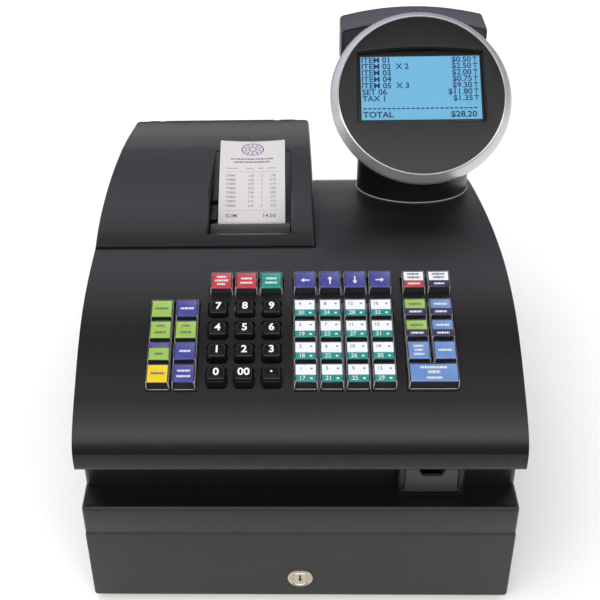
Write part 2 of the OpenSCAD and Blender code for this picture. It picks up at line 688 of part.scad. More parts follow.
// half sections of the round display, [radius, z]
rear_section = [
  [0, -28], [30, -28], [58, -16.5], [disc_r - 0.5, -9.1], [disc_r - 4.5, -9.1],
  [57, -14], [29.4, -25.6], [0, -25.6]];
ring_section = [
  [disc_r - 4.4, -9], [disc_r - 0.4, -9], [disc_r, -8], [70.6, -0.2], [69.8, 0],
  [69.6, -3.4], [71, -4]];

module on_disc() { translate(disc_centre) rotate([disc_tilt, 0, 0]) children(); }
// the post's solid, its top lowered by inset
module post_solid(radius, inset) {
  intersection() {
    translate([post_x, post_y, floor_z]) cylinder(r = radius, h = 250, $fn = fine);
    translate([post_x - 100, post_y - 100, 50]) cube([200, 200, flat_z - inset - 50]);
    on_disc() translate([-150, -300, cut_z - inset - 400]) cube([300, 600, 400]);
  }
}
module post_column() color(case_black) placed() difference() {
  union() {
    difference() {
      post_solid(post_r, 0);
      translate([0, 0, -1]) post_solid(post_r - 3, 2);
    }
    at_spots([swivel], 262) cylinder(r = 12, h = 20);
  }
  at_spots([swivel], 264) cylinder(r = 8.05, h = 30);
}
module tilt_bracket() color([0.4, 0.4, 0.41]) placed() on_disc() {
  block([-18, -10, cut_z], [18, 10, cut_z + 1.5]);
  mirrored() {
    block([10, -4.8, cut_z], [14.5, 4.8, tilt[1]]);
    x_cyl(4.8, 10, 14.5, tilt);
  }
  x_cyl(2.5, -16.5, 16.5, tilt);
}
module display_rear() color([0.08, 0.08, 0.08]) placed() on_disc() difference() {
  union() {
    rotate_extrude($fn = fine) polygon(rear_section);
    block([-9, -4.4, tilt[1]], [9, 4.4, -27]);
    x_cyl(4.8, -9, 9, tilt);
  }
  x_cyl(2.56, -20, 20, tilt);
}
module display_ring() color([0.78, 0.79, 0.8]) placed() on_disc()
  rotate_extrude($fn = fine) polygon(ring_section);
module display_bezel() color([0.06, 0.06, 0.06]) placed() on_disc() difference() {
  union() {
    translate([0, 0, -3.4]) cylinder(r = 69.5, h = 2.6, $fn = fine);
    difference() {
      translate([0, 0, -8.8]) cylinder(r = 66, h = 6, $fn = fine);
      translate([0, 0, -9]) cylinder(r = 64, h = 6, $fn = fine);
    }
  }
  block([-52.2, -22.6, -10], [52.2, 36.4, 1]);
  block([-56.6, -29, -10], [56.6, 40.4, -5.3]);
}
module lcd_panel() color([0.45, 0.72, 0.9]) placed() on_disc() {
  block([-56, -28, -9], [56, 39.6, -5.4]);
  block([-51.8, -22.2, -5.5], [51.8, 36, -3.6]);
}
// upright slab with an arched top, reaching forward from rear_y
module crowned_slab(width, z0, z1, rear_y, depth) {
  arch = [for (i = [0 : crown_steps]) let (x = (width / 2 - 3) * (1 - 2 * i / crown_steps))
    [x, z1 + crown_rise * (1 - pow(2 * x / width, 2))]];
  translate([post_x, rear_y, 0]) rotate([90, 0, 0]) linear_extrude(depth)
    polygon(concat([[-width / 2, z0], [width / 2, z0], [width / 2, z1 - 4]], arch,
      [[-width / 2, z1 - 4]]));
}
module customer_display() color([0.08, 0.08, 0.09]) placed() difference() {
  union() {
    difference() {
      crowned_slab(cust_w, 287, 327, 377, 33);
      crowned_slab(cust_w - 5, 289.4, 324.5, 374.6, 28.2);
      block([post_x - 56, 370, 294], [post_x + 56, 380, 320]);
    }
    // foot and swivel stem
    block([post_x - 12, swivel[1] - 12, 287], [post_x + 12, 345, 291]);
    at_spots([swivel], 265) cylinder(r = 8, h = 24);
    at_spots([swivel], flat_z + 0.3) cylinder(r = 11, h = 5);
  }
}
module customer_window() color([0.1, 0.12, 0.14]) placed()
  block([post_x - 55.8, 374.4, 294.2], [post_x + 55.8, 376.6, 319.8]);

// ---------------------------------------------------------------- keys
module number_row(row) color(deep_black) placed() on_key_plane()
  for (x = number_columns) number_key(x, number_rows[row]);
module number_keys_row_1() number_row(0);
module number_keys_row_2() number_row(1);
module number_keys_row_3() number_row(2);
module number_keys_row_4() number_row(3);
module department_keys_back() color(key_green) placed() on_key_plane()
  caps(dept_columns, [main_rows[0], main_rows[1]]);
module department_keys_front() color(key_green) placed() on_key_plane()
  caps(dept_columns, [main_rows[2], main_rows[3]]);
module function_keys_left() color([0.6, 0.8, 0.35]) placed() on_key_plane()
  caps(left_columns, main_rows);
module function_keys_top() color([0.85, 0.3, 0.33]) placed() on_key_plane()
  caps(top_columns, top_rows);
module arrow_keys() color([0.35, 0.35, 0.75]) placed() on_key_plane()
  caps(arrow_columns, top_rows);
module function_keys_right() color([0.5, 0.6, 0.85]) placed() on_key_plane() {
  caps(mode_columns, top_rows);
  caps(right_columns, [for (i = [0 : 2]) main_rows[i]]);
}
module total_key() color([0.55, 0.65, 0.9]) placed() on_key_plane()
  cap(right_columns[0] + col_pitch / 2, main_rows[3], columns = 2);

cabinet_cover();
cabinet_base();
rubber_feet();
cabinet_rails();
cabinet_rollers();
drawer_front();
drawer_box();
drawer_rollers();
till_insert();
clip_axle();
bill_clips();
lock_body();
lock_plug();
lock_cam();
latch_bracket();
latch_lever();
release_solenoid();
solenoid_plunger();
ejector_spring();
lower_case();
upper_case();
case_screws();
keyboard_plate();
keyboard_board();
main_board();
power_supply();
power_cord();
card_reader();
card_door();
printer_cover();
cover_hinge_pins();
printer_frame();
print_head();
tear_bar();
platen_roller();
paper_motor();
motor_pinion();
paper_roll();
paper_spindle();
paper_web();
receipt_paper();
post_column();
tilt_bracket();
display_rear();
display_ring();
display_bezel();
lcd_panel();
customer_display();
customer_window();
number_keys_row_1();
number_keys_row_2();
number_keys_row_3();
number_keys_row_4();
department_keys_back();
department_keys_front();
function_keys_left();
function_keys_top();
arrow_keys();
function_keys_right();
total_key();
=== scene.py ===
# A cash register: receipt printer at the left, sloping keyboard, operator display on a post at the
# right with a customer display behind it, and a cash drawer underneath. The front faces -Y, X runs
# right and Z up. All sizes are in millimetres, in the frames below, unless noted.
import json
import math
from contextlib import contextmanager
from functools import lru_cache
from math import cos, pi, radians, sin
import bmesh
import bpy
from mathutils import Matrix, Vector


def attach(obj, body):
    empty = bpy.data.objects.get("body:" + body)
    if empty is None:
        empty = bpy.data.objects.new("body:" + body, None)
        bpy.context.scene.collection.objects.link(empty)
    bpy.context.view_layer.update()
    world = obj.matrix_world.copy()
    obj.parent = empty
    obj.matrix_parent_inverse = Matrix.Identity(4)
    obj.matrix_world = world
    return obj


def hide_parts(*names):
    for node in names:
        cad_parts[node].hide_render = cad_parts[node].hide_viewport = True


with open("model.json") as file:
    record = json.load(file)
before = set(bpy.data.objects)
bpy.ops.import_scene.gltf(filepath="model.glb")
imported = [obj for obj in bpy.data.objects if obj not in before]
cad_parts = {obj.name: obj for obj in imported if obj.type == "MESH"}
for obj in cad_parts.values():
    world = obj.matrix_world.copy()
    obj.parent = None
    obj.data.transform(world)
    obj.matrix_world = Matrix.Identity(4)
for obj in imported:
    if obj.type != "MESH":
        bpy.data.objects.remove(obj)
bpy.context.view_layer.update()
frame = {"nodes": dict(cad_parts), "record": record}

MM = 0.001

# ------------------------------------------------------------ frames
ORIGIN_Y, ORIGIN_Z = -213.0, 5.0
SLOPE_SIN, SLOPE_COS = sin(radians(20)), cos(radians(20))
FACE_SIN, FACE_COS = sin(radians(43.3)), cos(radians(43.3))
POST_X = 107
LOCK_X, LOCK_Z = 0.5, 22.4


def base(x, y, z):
    "main frame: X right, Y back from the drawer front's face, Z up from its lower edge"
    return Vector((x * MM, (y + ORIGIN_Y) * MM, (z + ORIGIN_Z) * MM))


def keypad(x, y, z):
    "sloping keyboard: x right, y up the slope, z out of it"
    return base(x, y * SLOPE_COS - z * SLOPE_SIN, y * SLOPE_SIN + z * SLOPE_COS)


def screen(x, y, z):
    "operator display's face: x right, y up the face, z out of it"
    return base(POST_X + x, 270 + y * FACE_COS - z * FACE_SIN, 302 + y * FACE_SIN + z * FACE_COS)


def lock(x, y, z):
    "drawer lock: x right, y up, z out of the drawer front"
    return base(LOCK_X + x, -z, LOCK_Z + y)


# ------------------------------------------------------------ curves
def catmull_rom(a, b, c, d, t):
    return 0.5 * ((2 * b) + (c - a) * t + (2 * a - 5 * b + 4 * c - d) * t * t
                  + (3 * b - a - 3 * c + d) * t ** 3)


def smooth(points, steps):
    "curve through the points, with `steps` spans between neighbours"
    last, out = len(points) - 1, []
    for i in range(last):
        four = [points[max(i - 1, 0)], points[i], points[i + 1], points[min(i + 2, last)]]
        for k in range(steps):
            out.append(tuple(catmull_rom(*values, k / steps) for values in zip(*four)))
    return out + [points[-1]]


def shifted(points, distance):
    "outline moved sideways, to the right of its direction"
    out, last = [], len(points) - 1
    for i, (y, z) in enumerate(points):
        before, after = points[max(i - 1, 0)], points[min(i + 1, last)]
        along = Vector((after[0] - before[0], after[1] - before[1])).normalized()
        out.append((y + distance * along.y, z - distance * along.x))
    return out


def height_at(curve, y):
    "height of an outline at depth y"
    for (y0, z0), (y1, z1) in zip(curve, curve[1:]):
        if y0 <= y <= y1:
            return z0 + (z1 - z0) * (y - y0) / (y1 - y0)


def rect(x0, x1, y0, y1):
    return [(x0, y0), (x1, y0), (x1, y1), (x0, y1)]


def circle(radius, count, mid_x=0.0, mid_y=0.0):
    turns = [2 * pi * i / count for i in range(count)]
    return [(mid_x + radius * cos(turn), mid_y + radius * sin(turn)) for turn in turns]


def arc(mid_x, mid_y, radius, start, steps):
    "quarter circle, anticlockwise from `start` degrees"
    turns = [radians(start + 90 * i / steps) for i in range(steps + 1)]
    return [(mid_x + radius * cos(turn), mid_y + radius * sin(turn)) for turn in turns]


def rounded(half_x, half_y, radius, steps=4, mid_x=0.0, mid_y=0.0):
    "rounded rectangle, anticlockwise"
    radius = min(radius, half_x - 1e-4, half_y - 1e-4)
    out = []
    for side_x, side_y, start in ((1, 1, 0), (-1, 1, 90), (-1, -1, 180), (1, -1, 270)):
        out += arc(mid_x + side_x * (half_x - radius), mid_y + side_y * (half_y - radius),
                   radius, start, steps)
    return out


def ring(axis, outline, level, to=base):
    "outline placed at a level of `axis`; its pairs hold the other two coordinates, in order"
    if axis == "x":
        return [to(level, y, z) for y, z in outline]
    if axis == "y":
        return [to(x, level, z) for x, z in outline]
    return [to(x, y, level) for x, y in outline]


# ------------------------------------------------------------ driving sizes and side outlines
SPLIT = 142.4           # height of the upper case's lower edge
WALL = 2.6
HALF_WIDTH = 162.5
DEPTH = 434.0
NECK_Y = 23.0
SEAM_Y = 161.5          # front edge of the printer cover
BAY_Z = 178.0           # height of the case wall below the cover
BAY_RIGHT, COVER_RIGHT = 19.5, 15.0
HINGE_Y, HINGE_Z = 429.5, 184.0
BACK_Y = 384.0          # rear of the case at the right
REAR_RADIUS = 14.0
LUG_X, LUG_WIDTH = (-138.0, -20.0), 5
SLOT_X = -38.0          # middle of the paper slot

# outlines as (y, z)
lip = [(6.6, SPLIT), (3.6, 140.5), (1.9, 140.7), (0.9, 141.5), (0.25, 143.1), (0, 145.4),
       (0.03, 150.8), (0.5, 156.5)]
front_top = smooth(
    [(0.5, 156.5), (1.8, 160.6), (4.4, 165.2), (9, 170.4), (15.8, 176.1), (24.2, 182.1),
     (33.8, 188.2), (45.5, 195.4), (61.5, 204.4), (80, 212.5), (101, 218), (127, 221.2),
     (SEAM_Y, 222)], 6)
deck_top = smooth(
    [(127, 221.2), (150, 221.2), (180, 218), (208, 213.4), (243, 205.8), (285, 194.8),
     (311, 187), (322, 183), (331, 178)], 5)
deck_rear = [(352, 161.5), (370, 149.5)]
cover_top = smooth(
    [(SEAM_Y + 0.4, 223.6), (170, 226.3), (180, 228.7), (198, 230.9), (222, 231.3), (249, 229.9),
     (282, 225.8), (322, 218.5), (347, 212.4), (377, 204), (HINGE_Y - 12, 191.4),
     (HINGE_Y, HINGE_Z + 4.4)], 6)

# key positions on the keyboard
PITCH_X, PITCH_Y = 18.9, 18.0
row_y = [157.6 - PITCH_Y * i for i in range(4)]
number_y = [159.6 - (PITCH_Y + 0.35) * i for i in range(4)]
top_y = 182.0
department_x = [5.6 + PITCH_X * i for i in range(4)]
arrow_x = [x + 0.6 for x in department_x]
left_x = [-101.4, -101.4 + PITCH_X]
right_x = [87.8, 87.8 + PITCH_X]
mode_x = [88.5, 88.5 + PITCH_X]
number_x = [-59.2 + 20 * i for i in range(3)]
top_left_x = [-57.4 + PITCH_X * i for i in range(3)]


# ------------------------------------------------------------ materials
def feed(node, inputs):
    "sets each input to a value, or links it when given a socket"
    for key, value in inputs.items():
        if isinstance(value, bpy.types.NodeSocket):
            node.id_data.links.new(value, node.inputs[key])
        else:
            node.inputs[key].default_value = value


def add_node(tree, kind, inputs={}, **settings):
    node = tree.nodes.new("ShaderNode" + kind)
    for key, value in settings.items():
        setattr(node, key, value)
    feed(node, inputs)
    return node


def math_node(tree, operation, *values):
    node = add_node(tree, "Math", dict(enumerate(values)), operation=operation)
    return node.outputs["Value"]


def new_material(name):
    made = bpy.data.materials.new(name)
    made.use_nodes = True
    return made


def material(name, color, rough, metal=0.0, vary=0.12, vary_scale=35.0, grain=0.0,
             grain_scale=1500.0, coat=0.0, trans=0.0, emit=0.0, stretch=(1, 1, 1),
             rough_vary=0.06, spec=0.5):
    "surface with soft colour variation (vary) and, where asked for, a fine bumpy grain"
    made = new_material(name)
    tree = made.node_tree
    surface = tree.nodes["Principled BSDF"]
    place_on = add_node(tree, "TexCoord").outputs["Object"]
    mapped = add_node(tree, "Mapping", {"Vector": place_on, "Scale": stretch}).outputs["Vector"]
    noise = add_node(tree, "TexNoise", {"Scale": vary_scale, "Detail": 4, "Vector": mapped})
    noise = noise.outputs["Fac"]
    dark = [c * (1 - vary) for c in color]
    light = [min(1, c * (1 + vary)) for c in color]
    tint = add_node(tree, "Mix", {"A": (*dark, 1), "B": (*light, 1), "Factor": noise},
                    data_type="RGBA").outputs["Result"]
    if grain:
        noise = add_node(tree, "TexNoise", {"Scale": grain_scale, "Detail": 2, "Vector": mapped})
        noise = noise.outputs["Fac"]
        bump = add_node(tree, "Bump", {"Strength": grain, "Distance": 0.0003, "Height": noise})
        feed(surface, {"Normal": bump.outputs["Normal"]})
    roughness = add_node(tree, "MapRange", {"To Min": max(0.02, rough - rough_vary),
                                            "To Max": min(1, rough + rough_vary),
                                            "Value": noise})
    feed(surface, {"Base Color": tint, "Roughness": roughness.outputs["Result"],
                   "Metallic": metal, "Specular IOR Level": spec, "Coat Weight": coat,
                   "Coat Roughness": 0.12, "Transmission Weight": trans, "IOR": 1.46})
    if emit:
        feed(surface, {"Emission Color": tint, "Emission Strength": emit})
    return made


def clear_plastic(name, tint, edge):
    "see-through sheet that reflects by `edge` head-on and more at grazing angles"
    made = new_material(name)
    tree = made.node_tree
    tree.nodes.remove(tree.nodes["Principled BSDF"])
    place_on = add_node(tree, "TexCoord").outputs["Object"]
    noise = add_node(tree, "TexNoise", {"Scale": 300, "Vector": place_on}).outputs["Fac"]
    roughness = add_node(tree, "MapRange", {"To Min": 0.07, "To Max": 0.2, "Value": noise})
    gloss = add_node(tree, "BsdfGlossy", {"Color": (0.95, 0.97, 1.0, 1),
                                          "Roughness": roughness.outputs["Result"]})
    through = add_node(tree, "BsdfTransparent", {"Color": (*tint, 1)})
    grazing = add_node(tree, "LayerWeight", {"Blend": 0.5}).outputs["Facing"]
    sharpened = math_node(tree, "POWER", grazing, 3.0)
    reflection = math_node(tree, "MULTIPLY_ADD", sharpened, 1.3, edge)
    # only faces seen from outside reflect
    behind = add_node(tree, "NewGeometry").outputs["Backfacing"]
    outside = math_node(tree, "SUBTRACT", 1.0, behind)
    share = math_node(tree, "MULTIPLY", reflection, outside)
    mixed = add_node(tree, "MixShader", {"Fac": share, 1: through.outputs["BSDF"],
                                         2: gloss.outputs["BSDF"]})
    feed(tree.nodes["Material Output"], {"Surface": mixed.outputs["Shader"]})
    return made


def insert_color(name, color):
    return material(name, color, rough=0.5, vary=0.03)


MAT = {
    "abs": material("abs_textured", color=(0.0062, 0.0060, 0.0070), rough=0.36, grain=0.3,
                    grain_scale=2600, vary=0.10),
    "abs_smooth": material("abs_smooth", color=(0.008, 0.008, 0.009), rough=0.28, grain=0.06,
                           grain_scale=900, spec=0.45),
    "cabinet": material("powder_coat", color=(0.021, 0.021, 0.0203), rough=0.44, grain=0.5,
                        grain_scale=1900, vary=0.08, spec=0.42),
    # darker copy of the powder coat for the cabinet's top: painted shade under the overhanging
    # case
    "cabinet_top_painted_shade": material("powder_coat_painted_shade", color=(0.005, 0.005, 0.005), rough=0.30,
                            grain=0.4, spec=0.25),
    # lighter copy of the case's black plastic for the card door: painted light on its forward face
    "door": material("door_plastic_painted_light", color=(0.034, 0.034, 0.034), rough=0.36, grain=0.2,
                     grain_scale=2200, spec=0.45),
    "zinc": material("zinc_plate", color=(0.60, 0.61, 0.62), rough=0.34, metal=1.0, grain=0.12,
                     grain_scale=500, vary=0.08, vary_scale=60),
    "steel": material("satin_steel", color=(0.66, 0.66, 0.66), rough=0.28, metal=1.0, grain=0.15,
                      grain_scale=90, stretch=(1, 1, 30), vary=0.05),
    "nickel": material("nickel_plate", color=(0.62, 0.56, 0.47), rough=0.24, metal=1.0,
                       grain=0.05, grain_scale=700, vary=0.06),
    "ring": material("silver_ring", color=(0.66, 0.67, 0.69), rough=0.30, metal=0.85, grain=0.05,
                     vary=0.04),
    "rubber": material("rubber", color=(0.02, 0.02, 0.02), rough=0.8, grain=0.5,
                       grain_scale=900),
    "till": material("till_plastic", color=(0.035, 0.035, 0.037), rough=0.5, grain=0.4,
                     grain_scale=1700),
    "nylon": material("nylon", color=(0.76, 0.75, 0.70), rough=0.45, grain=0.1,
                      grain_scale=800, vary=0.05),
    "gloss_black": material("gloss_black", color=(0.005, 0.005, 0.006), rough=0.17, vary=0.1,
                            rough_vary=0.03),
    "core": material("key_core", color=(0.028, 0.028, 0.033), rough=0.4, grain=0.1, spec=0.3),
    "clear": clear_plastic("clear_cap", tint=(0.95, 0.955, 0.965), edge=0.03),
    # bright grey for the beads and strips on the clear caps' edges: painted highlight
    "cap_painted_highlight": material("clear_cap_painted_highlight", color=(0.48, 0.48, 0.50), rough=0.22, vary=0.25,
                         vary_scale=260, spec=0.8, coat=0.4),
    "white": material("insert_white", color=(0.88, 0.88, 0.90), rough=0.5, vary=0.02),
    "ink": material("ink_grey", color=(0.13, 0.13, 0.15), rough=0.6, vary=0.1),
    "digit": material("digit_white", color=(0.82, 0.82, 0.80), rough=0.4, vary=0.02),
    "teal": insert_color("insert_teal", (0.012, 0.27, 0.235)),
    "lime": insert_color("insert_lime", (0.33, 0.52, 0.085)),
    "yellow": insert_color("insert_yellow", (0.84, 0.60, 0.006)),
    "red": insert_color("insert_red", (0.50, 0.045, 0.065)),
    "purple": insert_color("insert_purple", (0.060, 0.060, 0.30)),
    "dark_purple": insert_color("insert_dark_purple", (0.032, 0.026, 0.085)),
    "blue": insert_color("insert_blue", (0.15, 0.27, 0.56)),
    "smoke": material("smoked_window", color=(0.018, 0.022, 0.026), rough=0.08, coat=0.5,
                      rough_vary=0.02),
    "tear": material("tear_bar_plastic", color=(0.045, 0.047, 0.042), rough=0.16, coat=0.5,
                     trans=0.25, rough_vary=0.04),
    "lcd": material("lcd_backlight", color=(0.108, 0.298, 0.465), rough=0.35, emit=0.25,
                    vary=0.05, vary_scale=18, spec=0.2),
    "lcd_ink": material("lcd_ink", color=(0.004, 0.022, 0.09), rough=0.5, vary=0.1),
    "pcb": material("solder_mask", color=(0.02, 0.16, 0.07), rough=0.35, vary=0.3,
                    vary_scale=220, coat=0.3),
    "copper": material("winding", color=(0.50, 0.27, 0.10), rough=0.35, metal=0.9, grain=0.5,
                       grain_scale=60, stretch=(1, 1, 40)),
    "paper": material("thermal_paper", color=(0.54, 0.525, 0.53), rough=0.55, vary=0.012,
                      grain=0.05, grain_scale=2500),
    "stamp": material("receipt_print", color=(0.10, 0.07, 0.17), rough=0.6, vary=0.3,
                      vary_scale=900),
    "stamp_light": material("receipt_print_faint", color=(0.25, 0.24, 0.26), rough=0.6,
                            vary=0.3, vary_scale=900),
    # near black for the cut walls of the finger notch and the keyway: painted shade
    "notch": material("notch_painted_shade", color=(0.004, 0.004, 0.004), rough=0.6, vary=0.2),
    "lilac": material("display_back", color=(0.05, 0.048, 0.06), rough=0.42, grain=0.25,
                      grain_scale=2400, vary=0.06, spec=0.3),
    # light grey of the tube round the post's collar: painted highlight
    "seam": material("seam_line", color=(0.33, 0.33, 0.36), rough=0.35, vary=0.05, grain=0.05),
}
SLOT_MAT = {
    "abs_black": "abs", "cabinet_paint": "cabinet", "zinc_steel": "zinc", "stainless": "steel",
    "nickel": "nickel", "silver_plastic": "ring", "rubber_black": "rubber",
    "till_plastic": "till", "nylon_white": "nylon", "number_key_black": "gloss_black",
    "key_teal": "teal", "key_lime": "lime", "key_red": "red", "key_purple": "purple",
    "key_blue": "blue", "smoked_window": "smoke", "lcd_glass": "lcd", "circuit_board": "pcb",
    "copper_winding": "copper", "paper": "paper"}
for part in frame["record"]["subparts"]:
    cad_piece = frame["nodes"].get(part["node"])
    if cad_piece is None:
        continue
    cad_piece.data.materials.clear()
    cad_piece.data.materials.append(MAT[SLOT_MAT[part["material_slot"]]])


# ------------------------------------------------------------ mesh tools
def add_object(name, data):
    made = bpy.data.objects.new(name, data)
    bpy.context.scene.collection.objects.link(made)
    return made


def evaluated_mesh(piece):
    bpy.context.view_layer.update()
    graph = bpy.context.evaluated_depsgraph_get()
    return bpy.data.meshes.new_from_object(piece.evaluated_get(graph), depsgraph=graph)


@contextmanager
def edited(mesh):
    "the mesh as an editable bmesh, written back afterwards"
    work = bmesh.new()
    work.from_mesh(mesh)
    yield work
    work.to_mesh(mesh)
    work.free()


def shade(piece, angle=34):
    "smooth shading, with edges sharper than `angle` degrees kept sharp"
    mesh = piece.data
    mesh.polygons.foreach_set("use_smooth", [True] * len(mesh.polygons))
    mesh.set_sharp_from_angle(angle=radians(angle))
    mesh.update()


@lru_cache(None)
def glyphs(text, size, bold):
    "flat characters centred on the origin, as vertices and faces"
    curve = bpy.data.curves.new("t", "FONT")
    curve.body, curve.size, curve.offset, curve.resolution_u = text, size, bold, 3
    curve.align_x, curve.align_y = "CENTER", "CENTER"
    piece = add_object("t", curve)
    mesh = evaluated_mesh(piece)
    found = [tuple(v.co) for v in mesh.vertices], [tuple(p.vertices) for p in mesh.polygons]
    bpy.data.objects.remove(piece, do_unlink=True)
    bpy.data.curves.remove(curve)
    bpy.data.meshes.remove(mesh)
    return found


class Shape:
    "vertices, faces and material numbers of one piece"

    def __init__(self, *mats):
        self.verts, self.faces, self.numbers, self.mats = [], [], [], list(mats)

    def add(self, verts, faces, mat):
        if mat not in self.mats:
            self.mats.append(mat)
        start = len(self.verts)
        self.verts += [tuple(p) for p in verts]
        self.faces += [tuple(start + i for i in face) for face in faces]
        self.numbers += [self.mats.index(mat)] * len(faces)
        return self

    def loft(self, rings, mat="abs", caps=True):
        count, faces = len(rings[0]), []
        end = (len(rings) - 1) * count
        for i in range(0, end, count):
            for j in range(count):
                k = (j + 1) % count
                faces.append((i + j, i + k, i + count + k, i + count + j))
        if caps:
            faces.append(tuple(reversed(range(count))))
            faces.append(tuple(range(end, end + count)))
        return self.add([p for one in rings for p in one], faces, mat)

    def extrude(self, axis, outline, levels, mat="abs", to=base):
        return self.loft([ring(axis, outline, level, to) for level in levels], mat)

    def box(self, x0, x1, y0, y1, z0, z1, corner, edge=0.01, steps=1, corner_steps=4,
            mat="abs", to=base):
        "box with rounded upright edges (corner) and rounded top and bottom edges (edge)"
        mid_x, mid_y, half_x, half_y = (x0 + x1) / 2, (y0 + y1) / 2, (x1 - x0) / 2, (y1 - y0) / 2
        turns = [pi / 2 * i / steps for i in range(steps + 1)]
        levels = [(z0 + edge * (1 - cos(t)), edge * (1 - sin(t))) for t in turns]
        levels += [(z1 - edge * (1 - cos(t)), edge * (1 - sin(t))) for t in reversed(turns)]
        return self.loft([ring("z", rounded(half_x - inset, half_y - inset,
                                            max(corner - inset, 0.15), corner_steps,
                                            mid_x, mid_y), z, to)
                          for z, inset in levels], mat)

    def lathe(self, profile, mat, count, to, closed=True):
        "profile (radius, z) turned about the z of frame `to`"
        verts, faces, size = [], [], len(profile)
        for i in range(count):
            turn = radians(360.0 * i / count)
            verts += [to(radius * cos(turn), radius * sin(turn), z) for radius, z in profile]
            here, there = i * size, (i + 1) % count * size
            for j in range(size if closed else size - 1):
                k = (j + 1) % size
                faces.append((here + j, there + j, there + k, here + k))
        return self.add(verts, faces, mat)

    def write(self, text, size, to, x, y, mat, bold, align="C", wide=1.0):
        "characters at (x, y) of the surface `to`"
        verts, faces = glyphs(text, size, bold)
        across = [p[0] for p in verts]
        move = {"C": 0, "L": -min(across), "R": -max(across)}[align]
        self.add([to(x + (p[0] + move) * wide, y + p[1]) for p in verts], faces, mat)

    def bar(self, to, x0, x1, y0, y1, mat):
        self.add([to(x, y) for x, y in rect(x0, x1, y0, y1)], [(0, 1, 2, 3)], mat)

    def build(self, name, angle=32):
        mesh = bpy.data.meshes.new(name)
        mesh.from_pydata(self.verts, [], self.faces)
        for mat in self.mats:
            mesh.materials.append(MAT[mat])
        mesh.polygons.foreach_set("material_index", self.numbers)
        piece = add_object(name, mesh)
        with edited(mesh) as work:
            bmesh.ops.recalc_face_normals(work, faces=work.faces)
        shade(piece, angle)
        return piece


def side_prism(outline, x0, x1):
    "closed side outline (y, z) between two x"
    return Shape().extrude("x", outline, (x0, x1)).build("tmp")


def bake(piece):
    "applies the modifiers"
    mesh = evaluated_mesh(piece)
    piece.modifiers.clear()
    old, piece.data = piece.data, mesh
    bpy.data.meshes.remove(old)


def boolean(piece, other, operation="DIFFERENCE"):
    modifier = piece.modifiers.new("cut", "BOOLEAN")
    modifier.operation, modifier.object, modifier.solver = operation, other, "EXACT"
    bake(piece)
    bpy.data.objects.remove(other, do_unlink=True)


def cut(piece, shape):
    boolean(piece, shape.build("cut"))


def merge(piece, other, angle=34):
    "adds the other piece's mesh without cutting, and shades the result"
    with edited(piece.data) as work:
        work.from_mesh(other.data)
    bpy.data.objects.remove(other, do_unlink=True)
    shade(piece, angle)


def weld(piece, dissolve=False):
    "joins the coinciding vertices on a lathe's axis"
    with edited(piece.data) as work:
        bmesh.ops.remove_doubles(work, verts=work.verts, dist=1e-6)
        if dissolve:
            bmesh.ops.dissolve_degenerate(work, dist=1e-7, edges=work.edges)
        bmesh.ops.recalc_face_normals(work, faces=work.faces)


def soften(piece, width, angle=38):
    "rounds the sharp edges of a finished piece"
    with edited(piece.data) as work:
        bmesh.ops.remove_doubles(work, verts=work.verts, dist=1e-6)
        bmesh.ops.dissolve_limit(work, angle_limit=radians(0.6), verts=work.verts,
                                 edges=work.edges, delimit={"MATERIAL"})
    modifier = piece.modifiers.new("edges", "BEVEL")
    modifier.width, modifier.segments = width * MM, 2
    modifier.limit_method, modifier.angle_limit = "ANGLE", radians(angle)
    modifier.use_clamp_overlap, modifier.miter_outer = True, "MITER_ARC"
    bake(piece)


def even(piece):
    "normals weighted by face area, so that cuts leave no marks on the large curved faces"
    modifier = piece.modifiers.new("normals", "WEIGHTED_NORMAL")
    modifier.mode, modifier.weight, modifier.keep_sharp = "FACE_AREA", 60, True


def place(piece, body, slot, *nodes, name=None):
    if name:
        piece.name = name
    if nodes:
        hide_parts(*nodes)
    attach(piece, body)


# ------------------------------------------------------------ upper case
def key_openings():
    gap, shape = 0.8, Shape()

    def opening(x0, x1, y0, y1, half_x=8.8, half_y=8.4, corner=1.6):
        "hole around the keys whose middles span x0..x1 and y0..y1"
        shape.box(x0 - half_x - gap, x1 + half_x + gap, y0 - half_y - gap, y1 + half_y + gap,
                  150, 200, corner=corner, to=keypad)

    for columns in (left_x, department_x, right_x):
        opening(columns[0], columns[-1], row_y[3], row_y[0])
    for columns in (top_left_x, arrow_x, mode_x):
        opening(columns[0], columns[-1], top_y, top_y)
    for x in number_x:
        for y in number_y:
            opening(x, x, y, y, half_x=7.4, half_y=7, corner=3.6)
    return shape


def round_side(piece, x, radius, lowest):
    "rounds the long edges above `lowest` where the top meets the side wall at x"
    with edited(piece.data) as work:
        edges = []
        for edge in work.edges:
            ends = [vert.co for vert in edge.verts]
            on_wall = all(abs(end.x - x * MM) < 1e-6 for end in ends)
            low = min(end.z for end in ends) < (lowest + ORIGIN_Z) * MM
            if on_wall and len(edge.link_faces) == 2 and not low:
                edges.append(edge)
        bmesh.ops.bevel(work, geom=edges, offset=radius * MM, segments=4, profile=0.5,
                        affect="EDGES", clamp_overlap=True)


def rear_corners(piece):
    "rounds the two upright rear corners of the printer side"
    for x, inward in ((-HALF_WIDTH, 1), (COVER_RIGHT, -1)):
        mid_x, mid_y = x + inward * REAR_RADIUS, DEPTH - REAR_RADIUS
        outline = [(x - inward * 2, mid_y)]
        for i in range(13):
            turn = pi / 2 * i / 12
            outline.append((mid_x - inward * REAR_RADIUS * cos(turn),
                            mid_y + REAR_RADIUS * sin(turn)))
        outline += [(mid_x, DEPTH + 2), (x - inward * 2, DEPTH + 2)]
        cut(piece, Shape().extrude("z", outline, (90, 300)))


